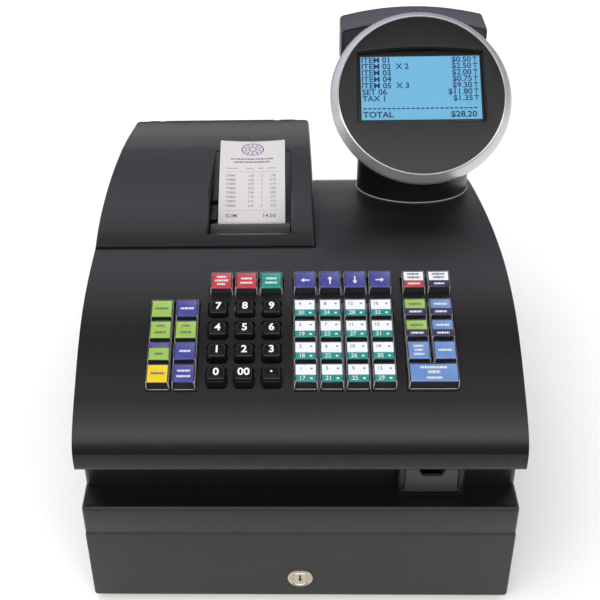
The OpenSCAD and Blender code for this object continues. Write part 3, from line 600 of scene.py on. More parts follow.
foot = [(NECK_Y + WALL + 4, SPLIT)] + lip
front_to_deck = foot + [p for p in front_top[1:] if p[0] < 126]
case = side_prism(foot + front_top[1:] + [(SEAM_Y, BAY_Z), (DEPTH, BAY_Z), (DEPTH, SPLIT)],
                  -HALF_WIDTH, COVER_RIGHT)
round_side(case, -HALF_WIDTH, radius=2.0, lowest=143.5)
rear_corners(case)
bridge = front_to_deck + [(SEAM_Y, 221), (SEAM_Y, 150), (365, 150), (379, 143.8),
                          (BACK_Y - 3, SPLIT)]
boolean(case, side_prism(bridge, COVER_RIGHT - 1, BAY_RIGHT + 1), "UNION")
case_right = side_prism(front_to_deck + deck_top + deck_rear + [(381, 144), (BACK_Y, SPLIT)],
                        BAY_RIGHT, HALF_WIDTH)
round_side(case_right, HALF_WIDTH, radius=2.0, lowest=143.5)
boolean(case, case_right, "UNION")
# hollow under the keyboard
boolean(case, side_prism(
    [(NECK_Y + WALL, SPLIT - 1), (NECK_Y + WALL, SPLIT + WALL), (WALL + 1.4, SPLIT + WALL),
     (WALL + 0.4, 151)]
    + [p for p in shifted(front_top, WALL) if p[1] > 153.5 and p[0] < SEAM_Y - WALL]
    + [(SEAM_Y - WALL, 222 - WALL), (SEAM_Y - WALL, SPLIT - 1)],
    -HALF_WIDTH + WALL, HALF_WIDTH - WALL))
# hollows of the printer bay as (x0, x1, y0, y1, z0, z1), corner radius
for extent, corner in (
        ((-HALF_WIDTH + WALL, COVER_RIGHT - WALL, SEAM_Y + 20, DEPTH - WALL, SPLIT - 1, 300),
         REAR_RADIUS - WALL),
        ((-HALF_WIDTH + WALL, BAY_RIGHT, SEAM_Y, 340, SPLIT - 1, 300), 0.3),
        ((-40, COVER_RIGHT - WALL, SEAM_Y + 9, 360, SPLIT - 1, 300), 0.3),
        ((0, BAY_RIGHT, SEAM_Y + 8, BACK_Y + 1, 144.5, 300), 0.3),
        ((0, BAY_RIGHT, SEAM_Y + 8, BACK_Y - WALL, SPLIT - 1, 300), 0.3),
        ((-HALF_WIDTH + WALL, BAY_RIGHT, SEAM_Y - WALL - 1, SEAM_Y + 1, SPLIT - 1, 185), 0.3)):
    cut(case, Shape().box(*extent, corner=corner, corner_steps=8))
# hollow under the deck
boolean(case, side_prism(
    [(140, SPLIT - 1), (140, 215)] + [p for p in shifted(deck_top, WALL) if p[0] > 142]
    + [(350, 159.2), (368, 147.2), (375, SPLIT), (375, SPLIT - 1)],
    BAY_RIGHT + WALL, HALF_WIDTH - WALL))
cut(case, key_openings())
POST_Y = 302
cut(case, Shape().extrude("z", circle(50.15, 96, POST_X, POST_Y), (100, 300)))
soften(case, width=0.55)
# hinge lugs: a pierced eye, as (x offset, radius), on an upright foot
lugs = Shape()
for x in LUG_X:
    lugs.loft([ring("x", circle(radius, 40, HINGE_Y, HINGE_Z), x + offset)
               for offset, radius in ((0, 2.02), (0, 3.0), (0.1, 3.1), (LUG_WIDTH - 0.1, 3.1),
                                      (LUG_WIDTH, 3.0), (LUG_WIDTH, 2.02), (0, 2.02))],
              caps=False)
    lugs.box(x, x + LUG_WIDTH, HINGE_Y - 3.0, HINGE_Y + 2.9, 160, HINGE_Z - 2.1,
             corner=0.4, edge=0.2, steps=3)
merge(case, lugs.build("lug"))
place(case, "register_body", "abs_black", "upper_case", name="upper_case_shell")
even(case)

# fixed ledge that closes the gap beside the printer cover
LEDGE_Y = SEAM_Y - 0.5
ledge = [(LEDGE_Y, height_at(deck_top, LEDGE_Y) - 0.3)]
ledge += [(y, z - 0.3) for y, z in deck_top if SEAM_Y + 1 < y < 331]
ledge += [(ledge[-1][0], ledge[-1][1] - 3), (LEDGE_Y, ledge[0][1] - 3)]
shape = Shape().extrude("x", ledge, (COVER_RIGHT + 0.75, BAY_RIGHT + 0.1))
place(shape.build("cover_ledge"), "register_body", "abs_black")


# painted highlight where the post meets the deck: a thin closed tube in light grey round the
# collar
def post_seam():
    points = [base(x, y, height_at(deck_top + deck_rear, y) + 0.15)
              for x, y in circle(50.5, 96, POST_X, POST_Y)]
    rings = []
    for i, point in enumerate(points):
        along = (points[(i + 1) % len(points)] - points[i - 1]).normalized()
        side = along.cross(Vector((0, 0, 1))).normalized()
        up = along.cross(side)
        turns = [2 * pi * j / 8 for j in range(8)]
        rings.append([point + 0.55 * MM * (cos(t) * side + sin(t) * up) for t in turns])
    return Shape().loft(rings + [rings[0]], "seam", caps=False)


place(post_seam().build("post_seam"), "register_body", "abs_black")

# door in the neck: bevelled leaf, as (y, inset), with a finger notch and a hinge pin
DOOR_X = 98
# the leaf and pin take the lighter door plastic: painted light
leaf = Shape().loft(
    [ring("y", rounded(19.5 - inset, 18.7 - inset, 1.2, 4, DOOR_X, 122.5), y)
     for y, inset in ((15.6, 0), (14.0, 0), (13.5, 0.25), (13.2, 0.8))], "door").build("leaf")
notch = ((-10.8, 142.5), (-9.8, 127.0), (-6.8, 120.8), (6.8, 120.8), (9.8, 127.0), (10.8, 142.5))
# the cutter carries the near-black notch material: painted shade
cut(leaf, Shape().extrude("y", [(DOOR_X + x, z) for x, z in notch], (12, 17), "notch"))
pin = Shape().extrude("x", circle(1.5, 24, 14.9, 105.2), (DOOR_X - 22.2, DOOR_X + 22.2), "door")
merge(leaf, pin.build("pin"))
place(leaf, "card_slot_door", "abs_black", "card_door", name="card_door_leaf")


# ------------------------------------------------------------ printer cover
cover = side_prism([(SEAM_Y + 0.4, BAY_Z + 0.5)] + cover_top
                   + [(HINGE_Y, BAY_Z + 1.4), (HINGE_Y - 4, BAY_Z + 0.5)],
                   -HALF_WIDTH, COVER_RIGHT)
round_side(cover, -HALF_WIDTH, radius=2.0, lowest=186)
round_side(cover, COVER_RIGHT, radius=2.2, lowest=186)
rear_corners(cover)
boolean(cover, side_prism(
    [(SEAM_Y + 0.4 + WALL, BAY_Z - 1), (SEAM_Y + 0.4 + WALL, 221.2)]
    + [p for p in shifted(cover_top, WALL) if SEAM_Y + 4 < p[0] < HINGE_Y - 5]
    + [(HINGE_Y - 5, 185), (HINGE_Y - 5, BAY_Z - 1)],
    -HALF_WIDTH + WALL, COVER_RIGHT - WALL))
# the recess is cut with flared sides, as (z, flare), so that its rim rolls over
cut(cover, Shape().loft(
    [ring("z", rounded(34.5 + flare, 73 + flare, 2.5 + flare, 5, SLOT_X - 0.5, 245), z)
     for z, flare in ((196, 0), (212, 0), (226, 0.25), (229, 0.7), (232, 1.8), (240, 6))]))
cut(cover, Shape().box(-HALF_WIDTH + WALL, COVER_RIGHT - WALL, SEAM_Y - 1, SEAM_Y + 4,
                       BAY_Z - 1, 205, corner=0.1))
# hinge barrel along the rear edge, as (x, radius)
BARREL_LEFT, BARREL_RIGHT = -HALF_WIDTH + REAR_RADIUS, COVER_RIGHT - REAR_RADIUS
barrel = Shape().loft([ring("x", circle(radius, 40, HINGE_Y, HINGE_Z), x)
                       for x, radius in ((BARREL_LEFT, 3.9), (BARREL_LEFT + 0.5, 4.4),
                                         (BARREL_RIGHT - 0.5, 4.4), (BARREL_RIGHT, 3.9))])
boolean(cover, barrel.build("barrel"), "UNION")
# room for the lugs, and a bore through the barrel beside them
for x in LUG_X:
    x0, x1 = x - 0.5, x + LUG_WIDTH + 0.5
    for y0, y1, top in ((HINGE_Y - 9, HINGE_Y + 0.01, HINGE_Z),
                        (HINGE_Y, HINGE_Y + 8, HINGE_Z + 8)):
        cut(cover, Shape().box(x0, x1, y0, y1, BAY_Z - 2, top, corner=0.3))
    for ends, radius in (((x0, x1), 3.4), ((x - 8, x + 13), 2.06)):
        cut(cover, Shape().extrude("x", circle(radius, 32, HINGE_Y, HINGE_Z), ends))
soften(cover, width=0.5)

# floor, front scoop and side walls of the recess, outlines as (y, z)
recess_floor = [(320, 218.9), (312, 218.4), (300, 216.9), (262, 212.9), (232, 209.3),
                (216, 207.3), (213.6, 206.6), (213.4, 205.8), (213.8, 204.9), (232, 206.9),
                (300, 214.6), (318, 216.6)]
front_scoop = [(173.2, 226.5), (177.5, 224.6), (183, 220.2), (187.4, 215.6), (188.6, 214.9),
               (191.6, 214.7), (192.4, 213.9), (192.8, 211.0), (194.6, 209.6), (194.4, 208.6),
               (190, 211.4), (184, 216.8), (178, 222.2), (170.9, 225.0), (171.1, 226.0)]
side_wall = [(171, 225.4), (180, 227.2), (198, 228.6), (222, 229.0), (249, 227.7),
             (282, 223.6), (318, 217.0), (300, 214.6), (213.6, 204.9), (195, 208.2), (176, 221)]
x0, x1 = SLOT_X - 37, SLOT_X + 36
recess = Shape()
for outline, ends in ((recess_floor, (x0, x1)), (front_scoop, (x0, x1)),
                      (side_wall, (x0, x0 + 2)), (side_wall, (x1 - 2, x1))):
    recess.extrude("x", outline, ends)
# small paper guides on the floor, left of the receipt
recess.box(x0 + 2.2, x0 + 7.6, 217, 240, 206.0, 211.6, corner=0.8, edge=0.5, steps=3)
recess.box(x0 + 2.2, x0 + 7.0, 242, 286, 206.0, 214.2, corner=0.8, edge=0.5, steps=3)
merge(cover, recess.build("scoop"))
place(cover, "printer_hatch", "abs_black", "printer_cover", name="hatch_shell")
even(cover)

# ------------------------------------------------------------ receipt
# side path of the sheet, (y, z) from the slot to the torn edge
paper_path = smooth([(210.6, 206.4), (212.6, 211.4), (222, 218.2), (240, 226.4), (264, 236),
                     (290, 245)], 8)
PAPER_X, PAPER_HALF, PAPER_STEPS, PAPER_THICK = SLOT_X + 0.5, 28.5, 38, 0.22
LAST_ROW = len(paper_path) - 1


def curl(along, across):
    "lift of the sheet's edges; along runs 0..1 to the torn edge, across -1..1"
    return 1.6 * along * along * across * across


def paper_sheet():
    "thin curled sheet with a torn upper edge"
    verts, faces = [], []
    wide = PAPER_STEPS + 1
    under = (LAST_ROW + 1) * wide
    for side in (0, 1):
        for i, (y, z) in enumerate(shifted(paper_path, PAPER_THICK * side)):
            for j in range(wide):
                across = j / PAPER_STEPS * 2 - 1
                tooth = (0.9 if j % 2 else -0.3) if i == LAST_ROW else 0.0
                verts.append(base(PAPER_X + PAPER_HALF * across, y + tooth * 0.9,
                                  z + tooth * 0.35 + curl(i / LAST_ROW, across)))
    for i in range(LAST_ROW):
        for j in range(PAPER_STEPS):
            a = i * wide + j
            faces.append((a, a + 1, a + wide + 1, a + wide))
            a += under
            faces.append((a + wide, a + wide + 1, a + 1, a))
    rim = list(range(wide))
    rim += [i * wide + PAPER_STEPS for i in range(1, LAST_ROW + 1)]
    rim += [LAST_ROW * wide + j for j in range(PAPER_STEPS - 1, -1, -1)]
    rim += [i * wide for i in range(LAST_ROW - 1, 0, -1)]
    for a, b in zip(rim, rim[1:] + rim[:1]):
        faces.append((a, a + under, b + under, b))
    return Shape().add(verts, faces, "paper")


def on_paper(x, y):
    "point on the print: x from the middle of the sheet, y from its torn edge, negative down"
    length = 0.0
    for i in range(LAST_ROW, 0, -1):
        span = math.dist(paper_path[i], paper_path[i - 1])
        if length + span >= -y:
            break
        length += span
    part = (-y - length) / span
    (y0, z0), (y1, z1) = paper_path[i], paper_path[i - 1]
    lift = curl((i - part) / LAST_ROW, x / PAPER_HALF)
    return base(PAPER_X + x, y0 + (y1 - y0) * part, z0 + (z1 - z0) * part + lift + 0.12)


receipt = paper_sheet()


def dashes(depth, reach, dash, gap, half_height, x0=0.0, start=3, mat="stamp"):
    "a row of printed dashes of uneven length, centred at x0, `reach` to each side"
    x, i = -reach, start
    while x < reach - 0.4:
        length = dash * (0.7 + 0.3 * ((i * 5) % 4))
        receipt.bar(on_paper, x0 + x, x0 + min(x + length, reach),
                    -depth - half_height, -depth + half_height, mat)
        x += length + gap
        i += 1


def divider(depth):
    dashes(depth, reach=22, dash=1.3, gap=1.1, half_height=0.2, mat="stamp_light")


def on_emblem(x, y):
    "emblem's plane: a stretched circle below the torn edge"
    return on_paper(x * 1.25, y * 0.86 - 9.2)


# a round emblem of two rings and ten spokes
for inner, outer in ((7.2, 8.0), (2.2, 2.9)):
    verts = [on_emblem(radius * sin(turn), radius * cos(turn))
             for turn in [2 * pi * i / 40 for i in range(40)] for radius in (inner, outer)]
    receipt.add(verts, [(2 * i, 2 * i + 1, (2 * i + 3) % 80, (2 * i + 2) % 80)
                        for i in range(40)], "stamp")
for i in range(10):
    turn = pi * i / 5
    receipt.add([on_emblem(radius * sin(turn) + side * cos(turn),
                           radius * cos(turn) - side * sin(turn))
                 for radius, side in ((3.8, -0.35), (3.8, 0.35), (6.3, 0.55), (6.3, -0.55))],
                [(0, 1, 2, 3)], "stamp")
# two title rows and a row of column heads
dashes(20.2, reach=19, dash=1.25, gap=0.75, half_height=0.7)
dashes(23.6, reach=16, dash=1.4, gap=0.65, half_height=0.7, start=1)
for x, reach in ((-17.5, 5), (-1.5, 3.2), (8, 2.6), (17, 3.6)):
    dashes(30.6, reach, dash=0.9, gap=0.6, half_height=0.55, x0=x, start=2, mat="stamp_light")
divider(34.4)
# item rows: name, price, count, amount
for i in range(8):
    depth = 38.6 + 4.45 * i
    whole, cents, count = (i * 3) % 5 + 1, (i * 35) % 100, i % 3 + 1
    for text, x, align, wide in (
            (f"ITEM{i + 1:02d}", -22.5, "L", 0.85),
            (f"{whole}.{cents:02d}", 1.5, "R", 0.9),
            (f"{count}", 9, "R", 1.0),
            (f"{whole * count}.{cents * count % 100:02d}", 20.5, "R", 0.9)):
        receipt.write(text, 3.3, on_paper, x, -depth, "stamp_light", bold=0.05, align=align,
                      wide=wide)
divider(74.2)
for text, x, align in (("SUM", -22.5, "L"), ("14.50", 20.5, "R")):
    receipt.write(text, 4.4, on_paper, x, -79.2, "stamp", bold=0.05, align=align, wide=1.2)
divider(84.8)
place(receipt.build("receipt_sheet", angle=50), "printer_hatch", "paper", "receipt_paper")

# tear bar: glossy, with a rounded nose, outline as (y, z), and fine teeth
tear_outline = [(191, 206.15), (208.0, 206.15), (208.6, 207.2), (208.7, 211.6), (208.3, 212.8),
                (207.4, 213.1), (206.2, 212.8), (198.2, 210.4), (197.5, 209.8), (197.4, 208.6),
                (197.3, 207.5), (196.6, 207.2), (191, 207.2)]
# corners of a tooth's foot and tip, as (x offset, y, z)
tooth_levels = (
    ((-0.6, 208.0, 212.6), (0.6, 208.0, 212.6), (0.6, 208.6, 212.4), (-0.6, 208.6, 212.4)),
    ((-0.1, 208.2, 213.8), (0.1, 208.2, 213.8), (0.1, 208.4, 213.8), (-0.1, 208.4, 213.8)))
shape = Shape().extrude("x", tear_outline, (SLOT_X - 34, SLOT_X + 33), "tear")
for i in range(32):
    x = SLOT_X - 31.5 + i * 2
    shape.loft([[base(x + offset, y, z) for offset, y, z in level] for level in tooth_levels],
               "steel")
place(shape.build("tear_edge"), "register_body", "smoked_window", "tear_bar")


# ------------------------------------------------------------ keys
LABEL_Z = 176.6
# sections of a two-part core and its clear cover, as (z, half x, half y, corner radius)
KEY_SKIRT = ((161.2, 8.5, 8.1, 1.3), (166.6, 8.6, 8.2, 1.3), (167.1, 8.3, 7.9, 1.1))
KEY_BLOCK = ((167.0, 7.3, 6.9, 1.0), (174.8, 7.0, 6.5, 1.0), (175.5, 6.7, 6.2, 0.9))
KEY_COVER = ((177.0, 7.5, 6.9, 1.0), (176.8, 7.7, 7.1, 1.2), (167.2, 8.2, 7.8, 1.2),
             (167.2, 8.7, 8.3, 1.5), (171.5, 8.5, 8.05, 1.5), (176.6, 8.2, 7.6, 1.5),
             (177.5, 8.0, 7.4, 1.6), (177.95, 7.5, 6.9, 1.6))
# upright corner beads of the cover in a bright grey, painted highlights of its edges, as (x, y, z,
# radius)
CORNER_HIGHLIGHT_BEAD = ((8.3, 7.9, 167.3, 0.2), (8.1, 7.65, 171.5, 0.34), (7.75, 7.15, 176.6, 0.3),
               (7.4, 6.8, 177.7, 0.12))
# side and front strips in the same painted highlight grey
SIDE_HIGHLIGHT_STRIP = ((8.45, 168.0), (8.62, 168.0), (8.3, 176.0), (8.16, 176.0))         # (x, z)
FRONT_HIGHLIGHT_STRIP = ((-8.2, 167.3), (-8.42, 167.3), (-8.36, 167.75), (-8.16, 167.75))  # (y, z)
# glossy number key with a dished top, same columns as the cover
NUMBER_KEY = ((161.2, 7.35, 6.95, 3), (169.5, 7.3, 6.9, 3), (172.0, 7.1, 6.7, 3),
              (173.6, 6.8, 6.3, 2.9), (174.9, 6.35, 5.7, 2.7), (175.7, 5.8, 5.1, 2.5),
              (176.0, 5.2, 4.5, 2.2), (175.95, 4.6, 3.9, 1.9), (175.8, 3.4, 2.8, 1.4),
              (175.7, 1.6, 1.3, 0.6))


def key_stem(shape, x, y):
    shape.extrude("z", circle(3, 20, x, y), (153.4, 161.6), "core", keypad)


def clear_key(shape, key_x, key_y, bands, marks, units=1):
    "clear-capped key, `units` pitches wide; bands are {colour: share of height} from the top"
    extra = PITCH_X * (units - 1) / 2
    for sections, mat in ((KEY_SKIRT, "core"), (KEY_BLOCK, "core"), (KEY_COVER, "clear")):
        shape.loft([ring("z", rounded(half_x + extra, half_y, radius, 3, key_x, key_y), z, keypad)
                    for z, half_x, half_y, radius in sections], mat)
    # painted highlights: bright grey beads and strips on the cover's corners, sides and front rim
    # stand in for the light its moulded edges catch
    for side in (-1, 1):
        for end in (-1, 1):
            shape.loft([ring("z", circle(radius, 8, key_x + side * (x + extra), key_y + end * y),
                             z, keypad) for x, y, z, radius in CORNER_HIGHLIGHT_BEAD], "cap_painted_highlight")
        shape.extrude("y", [(key_x + side * (x + extra), z) for x, z in SIDE_HIGHLIGHT_STRIP],
                      (key_y - 6.6, key_y + 6.6), "cap_painted_highlight", keypad)
    shape.extrude("x", [(key_y + y, z) for y, z in FRONT_HIGHLIGHT_STRIP],
                  (key_x - 7.2 - extra, key_x + 7.2 + extra), "cap_painted_highlight", keypad)
    # printed insert
    half_x, half_y = 7.3 + extra, 6.75
    top = half_y
    for mat, share in bands.items():
        bottom = top - 2 * half_y * share
        shape.extrude("z", rect(key_x - half_x, key_x + half_x, key_y + bottom, key_y + top),
                      (175.6, 176.5), mat, keypad)
        top = bottom
    marks(shape, lambda x, y: keypad(key_x + x, key_y + y, LABEL_Z))
    for i in range(units):
        key_stem(shape, key_x - extra + i * PITCH_X, key_y)


def arrow(turn):
    "marks: an arrow turned by an angle in radians"
    outline = [(-3.4, -0.55), (0.6, -0.55), (0.6, -1.9), (3.4, 0), (0.6, 1.9), (0.6, 0.55),
               (-3.4, 0.55)]

    def draw(shape, to):
        shape.add([to(x * cos(turn) - y * sin(turn), x * sin(turn) + y * cos(turn))
                   for x, y in outline], [tuple(range(7))], "digit")
    return draw


def strokes(**rows_by_mat):
    "marks: rows of generic dashes in place of a name, as (y, half width), for each material"
    def draw(shape, to):
        for mat, rows in rows_by_mat.items():
            for y, reach in rows:
                x, i = -reach, 0
                while x < reach - 0.3:
                    length = 0.9 + 0.5 * ((i * 7) % 3)
                    shape.bar(to, x, min(x + length, reach), y - 0.85, y + 0.85, mat)
                    x += length + 0.4
                    i += 1
    return draw


def department_marks(lower, upper):
    "marks: a large number on the lower band, a small one on the upper, each with a bar"
    def draw(shape, to):
        shape.write(lower, 4.7, to, -2.6, -4.1, "digit", bold=0.012 * 4.7)
        shape.write(upper, 3.9, to, -3.6, 3.6, "ink", bold=0.012 * 3.9)
        shape.bar(to, 3.0, 4.9, -4.9, -3.5, "digit")
        shape.bar(to, 3.4, 5.0, 3.0, 4.2, "ink")
    return draw


def seat(shape, name, node, slot):
    place(shape.build(name, angle=40), node + "_set", slot, node)


def clear_keys(name, node, slot, keys):
    shape = Shape("clear")
    for key in keys:
        clear_key(shape, *key)
    seat(shape, name, node, slot)


for row, texts in enumerate((("7", "8", "9"), ("4", "5", "6"), ("1", "2", "3"),
                             ("0", "00", "."))):
    shape = Shape()
    for x, text in zip(number_x, texts):
        y = number_y[row]
        shape.loft([ring("z", rounded(half_x, half_y, radius, 5, x, y), z, keypad)
                    for z, half_x, half_y, radius in NUMBER_KEY], "gloss_black")
        size, raise_y = (9, 3.2) if text == "." else (8.0, 0.5)
        shape.write(text, size, lambda x, y: keypad(x, y, 176.04), x, y + raise_y, "digit",
                    bold=0.17, wide=1.12)
        key_stem(shape, x, y)
    seat(shape, f"number_caps_{row + 1}", f"number_keys_row_{row + 1}", "number_key_black")

# numbers count up towards the back, then column by column
for name, rows in (("back", (0, 1)), ("front", (2, 3))):
    clear_keys("department_caps_" + name, "department_keys_" + name, "key_teal",
               [(department_x[column], row_y[row], {"white": 0.6, "teal": 0.4},
                 department_marks(str(20 - row + 4 * column), str(4 - row + 4 * column)))
                for row in rows for column in range(4)])

LIME, PURPLE, BLUE = {"lime": 1.0}, {"purple": 1.0}, {"blue": 1.0}
left_keys = (
    (LIME, strokes(ink=((0.2, 4.9),))),
    (PURPLE, strokes(digit=((0.2, 4.9),))),
    (LIME, strokes(ink=((3.4, 3.0), (-2.2, 4.2)))),
    (LIME, strokes(ink=((3.4, 3.0), (-2.2, 4.2)))),
    ({"purple": 0.3, "lime": 0.7}, strokes(ink=((3.6, 4.8), (-2.0, 3.0)))),
    (PURPLE, strokes(digit=((0.2, 4.0),))),
    ({"yellow": 1.0}, strokes(ink=((0.2, 4.8),))),
    (PURPLE, strokes(digit=((2.2, 4.6), (-2.2, 5.0)))))
clear_keys("function_caps_left", "function_keys_left", "key_lime",
           [(left_x[i % 2], row_y[i // 2], *key) for i, key in enumerate(left_keys)])

two_rows = strokes(digit=((1.8, 4.0), (-2.0, 4.6)))
top_keys = (({"red": 1.0}, strokes(digit=((3.4, 3.6), (0.2, 5.0), (-3.0, 3.4)))),
            ({"red": 1.0}, two_rows), ({"teal": 1.0}, two_rows))
clear_keys("function_caps_top", "function_keys_top", "key_red",
           [(x, top_y, *key) for x, key in zip(top_left_x, top_keys)])

clear_keys("arrow_caps", "arrow_keys", "key_purple",
           [(x, top_y, PURPLE, arrow(turn)) for x, turn in zip(arrow_x, (pi, pi / 2, -pi / 2, 0))])

right_keys = [
    (mode_x[0], top_y, {"white": 0.55, "red": 0.45},
     strokes(ink=((4.9, 4.4), (1.9, 4.6)), digit=((-3.6, 4.6),))),
    (mode_x[1], top_y, {"white": 0.55, "dark_purple": 0.45},
     strokes(ink=((4.9, 4.8), (1.9, 4.0)), digit=((-3.6, 3.8),)))]
for y in row_y[:2]:
    right_keys += [
        (right_x[0], y, {"lime": 0.55, "dark_purple": 0.45},
         strokes(ink=((2.9, 4.6),), digit=((-3.6, 4.6),))),
        (right_x[1], y, {"blue": 0.55, "dark_purple": 0.45},
         strokes(digit=((2.9, 4.8), (-3.6, 4.4))))]
right_keys += [
    (right_x[0], row_y[2], BLUE, strokes(digit=((3.6, 3.6), (0.3, 3.0), (-3.0, 3.8)))),
    (right_x[1], row_y[2], BLUE, strokes(digit=((0.2, 4.8),)))]
clear_keys("function_caps_right", "function_keys_right", "key_blue", right_keys)

clear_keys("total_cap", "total_key", "key_blue",
           [(right_x[0] + PITCH_X / 2, row_y[3], BLUE,
             strokes(digit=((4.2, 9.5), (0.2, 4.4), (0.9, 4.4), (-4.0, 5.6))), 2)])


# ------------------------------------------------------------ operator display
rim_profile = [(72.8, -9.0), (76.3, -9.0), (76.85, -8.7), (77.0, -8.1), (76.9, -7.3),
               (75.6, -5.7), (73.4, -3.2), (71.6, -1.2), (70.9, -0.45), (70.4, -0.08),
               (70.0, 0.0), (69.75, -0.2), (69.65, -0.7), (69.6, -3.2), (70.2, -3.8),
               (71.4, -5.4)]
shape = Shape().lathe(rim_profile, "ring", 128, screen)
place(shape.build("display_rim"), "operator_display", "silver_plastic", "display_ring")


def window(grow):
    "outline of the window with its arched top"
    x, bottom, top = 53.2 + grow, -23.6 - grow, 36.6 + grow
    out = arc(x - 1.5, bottom + 1.5, 1.5, 270, 4)
    for i in range(15):
        part = 1 - 2 * i / 14
        out.append(((x - 0.6) * part, top + 4.2 * (1 - part * part)))
    return out + arc(-x + 1.5, bottom + 1.5, 1.5, 180, 4)


face_profile = [(0.0, -3.4), (69.2, -3.4), (69.5, -3.1), (69.5, -1.3), (69.3, -1.0),
                (68.6, -0.85), (0.0, -0.85)]
face = Shape().lathe(face_profile, "abs", 128, screen, closed=False).build("face")
weld(face, dissolve=True)
cut(face, Shape().loft([ring("z", window(grow), z, screen)
                        for z, grow in ((-6, 0.0), (-2.6, 0.0), (-0.9, 1.7), (0.2, 2.6))]))
skirt = Shape().lathe([(64.2, -8.8), (66.0, -8.8), (66.0, -3.3), (64.2, -3.3)], "abs", 96, screen)
merge(face, skirt.build("skirt"), angle=30)
place(face, "operator_display", "abs_black", "display_bezel", name="display_face")


def on_lcd(x, y):
    return screen(x, y, -3.56)


shape = Shape("lcd")
shape.box(-56, 56, -28, 39.6, -9, -4.0, corner=0.6, edge=0.3, steps=2, mat="abs_smooth",
          to=screen)
shape.extrude("z", rounded(51.9, 29.6, 0.6, 2, 0, 6.9), (-4.1, -3.75), "gloss_black", screen)
shape.extrude("z", rounded(50.6, 28.2, 0.4, 2, 0, 6.6), (-3.8, -3.62), "lcd", screen)
for i, (item, price) in enumerate((
        ("ITEM 01", "$0.50"), ("ITEM 02  X 2", "$2.50"), ("ITEM 03", "$2.00"),
        ("ITEM 04", "$0.75"), ("ITEM 05  X 3", "$9.30"), ("SET 06", "$11.80"),
        ("TAX 1", "$1.35"))):
    y = 31.6 - i * 5.75
    shape.write(item, 6.9, on_lcd, -49.6, y, "lcd_ink", bold=0.13, align="L", wide=1.08)
    shape.write(price, 6.9, on_lcd, 43.4, y, "lcd_ink", bold=0.13, align="R", wide=1.08)
    # a small T-shaped mark after the price
    shape.bar(on_lcd, 44.8, 48.6, y + 1.6, y + 2.5, "lcd_ink")
    shape.bar(on_lcd, 46.3, 47.1, y - 2.4, y + 1.7, "lcd_ink")
for i in range(24):
    shape.bar(on_lcd, -49.0 + i * 4.05, -46.2 + i * 4.05, -12.2, -11.1, "lcd_ink")
for text, x, align in (("TOTAL", -49.4, "L"), ("$28.20", 46.4, "R")):
    shape.write(text, 7.2, on_lcd, x, -17.2, "lcd_ink", bold=0.16, align=align, wide=1.12)
place(shape.build("lcd_screen"), "operator_display", "lcd_glass", "lcd_panel")


# ------------------------------------------------------------ customer display
def head_ring(y, inset):
    "rounded outline with a crowned top, at depth y"
    width, bottom, top = 130 - 2 * inset, 287 + inset, 327.2 - inset
    radius = max(4.5 - inset, 1.5)
    reach = width / 2 - radius

    def crown(x):
        return top + 8.8 * (1 - (2 * x / width) ** 2)

    low, high = bottom + radius, crown(reach) - radius
    out = arc(POST_X + reach, low, radius, 270, 4)
    out += arc(POST_X + reach, high, radius, 0, 4)[:-1]
    for i in range(17):
        x = reach * (1 - 2 * i / 16)
        out.append((POST_X + x, crown(x)))
    out += arc(POST_X - reach, high, radius, 90, 4)[1:]
    out += arc(POST_X - reach, low, radius, 180, 4)
    return ring("y", out, y)


STEM_Y = 335
shape = Shape()
# front half, as (y, inset)
shape.loft([head_ring(*level) for level in (
    (345.6, 2.6), (344.6, 1.8), (344.2, 0.9), (344.9, 0.25), (346.6, 0.0), (359.2, 0.0),
    (359.6, 0.35))], "lilac")
# rear half, left open at the back, where a shallow inset face closes it
rear = [head_ring(*level) for level in ((359.9, 0.35), (360.3, 0.0), (374.6, 0.0), (376.4, 0.6),
                                        (377.0, 1.8))]
size = len(rear[0])
shape.loft(rear, "lilac")
# the rear cap is the last face of the loft
shape.faces.pop()
shape.numbers.pop()
shape.loft([head_ring(376.99, 1.8), head_ring(376.6, 4.5)], caps=False)
shape.faces.append(tuple(range(len(shape.verts) - size, len(shape.verts))))
shape.numbers.append(shape.mats.index("abs"))
# stem, collar and neck block
shape.extrude("z", circle(8, 40, POST_X, STEM_Y), (265, 288.5))
shape.lathe([(0.5, 283.3), (10.4, 283.3), (11, 283.9), (11, 287.7), (10.4, 288.3), (0.5, 288.3)],
            "abs", 48, lambda x, y, z: base(POST_X + x, STEM_Y + y, z))
shape.box(95, 119, 323, 345.5, 287, 291, corner=4, edge=0.8, steps=3)
place(shape.build("customer_head_shell"), "customer_head", "abs_black", "customer_display")

# window pane in the rear face, as (y, inset), with digits that read from behind
shape = Shape().loft([ring("y", rounded(55.4 - inset, 12.6 - inset, 1.6, 4, POST_X, 307), y)
                      for y, inset in ((376.4, 0), (377.0, 0.2), (377.3, 0.9))], "smoke")
for i, text in enumerate("0.00"):
    shape.write(text, 15, lambda x, y: base(-x, 377.36, y), i * 13 - POST_X - 26, 306.4, "teal",
                bold=0.15)
place(shape.build("customer_window_pane"), "customer_head", "smoked_window", "customer_window")


# ------------------------------------------------------------ cabinet
SHEET = 1.2
CABINET_HALF_Y = 213
# sheet cover, as (inset, z)
cabinet = Shape().loft(
    [ring("z", rounded(HALF_WIDTH - inset, CABINET_HALF_Y - inset, max(3.5 - inset, 0.4), 5,
                       0, CABINET_HALF_Y), z)
     for inset, z in ((0, 0.2), (0, 97.6), (0.3, 99.2), (0.9, 100.3), (1.9, 100.9),
                      (3.0, 101.0))], "cabinet").build("cab")
cut(cabinet, Shape().extrude(
    "z", rounded(HALF_WIDTH - SHEET, CABINET_HALF_Y - SHEET, 2.4, 4, 0, CABINET_HALF_Y),
    (-2, 98.6, 99.8), "cabinet"))
cut(cabinet, Shape().box(-HALF_WIDTH - 1, HALF_WIDTH + 1, -1, 14.6, -3, 74.8, corner=0.1,
                         mat="cabinet"))
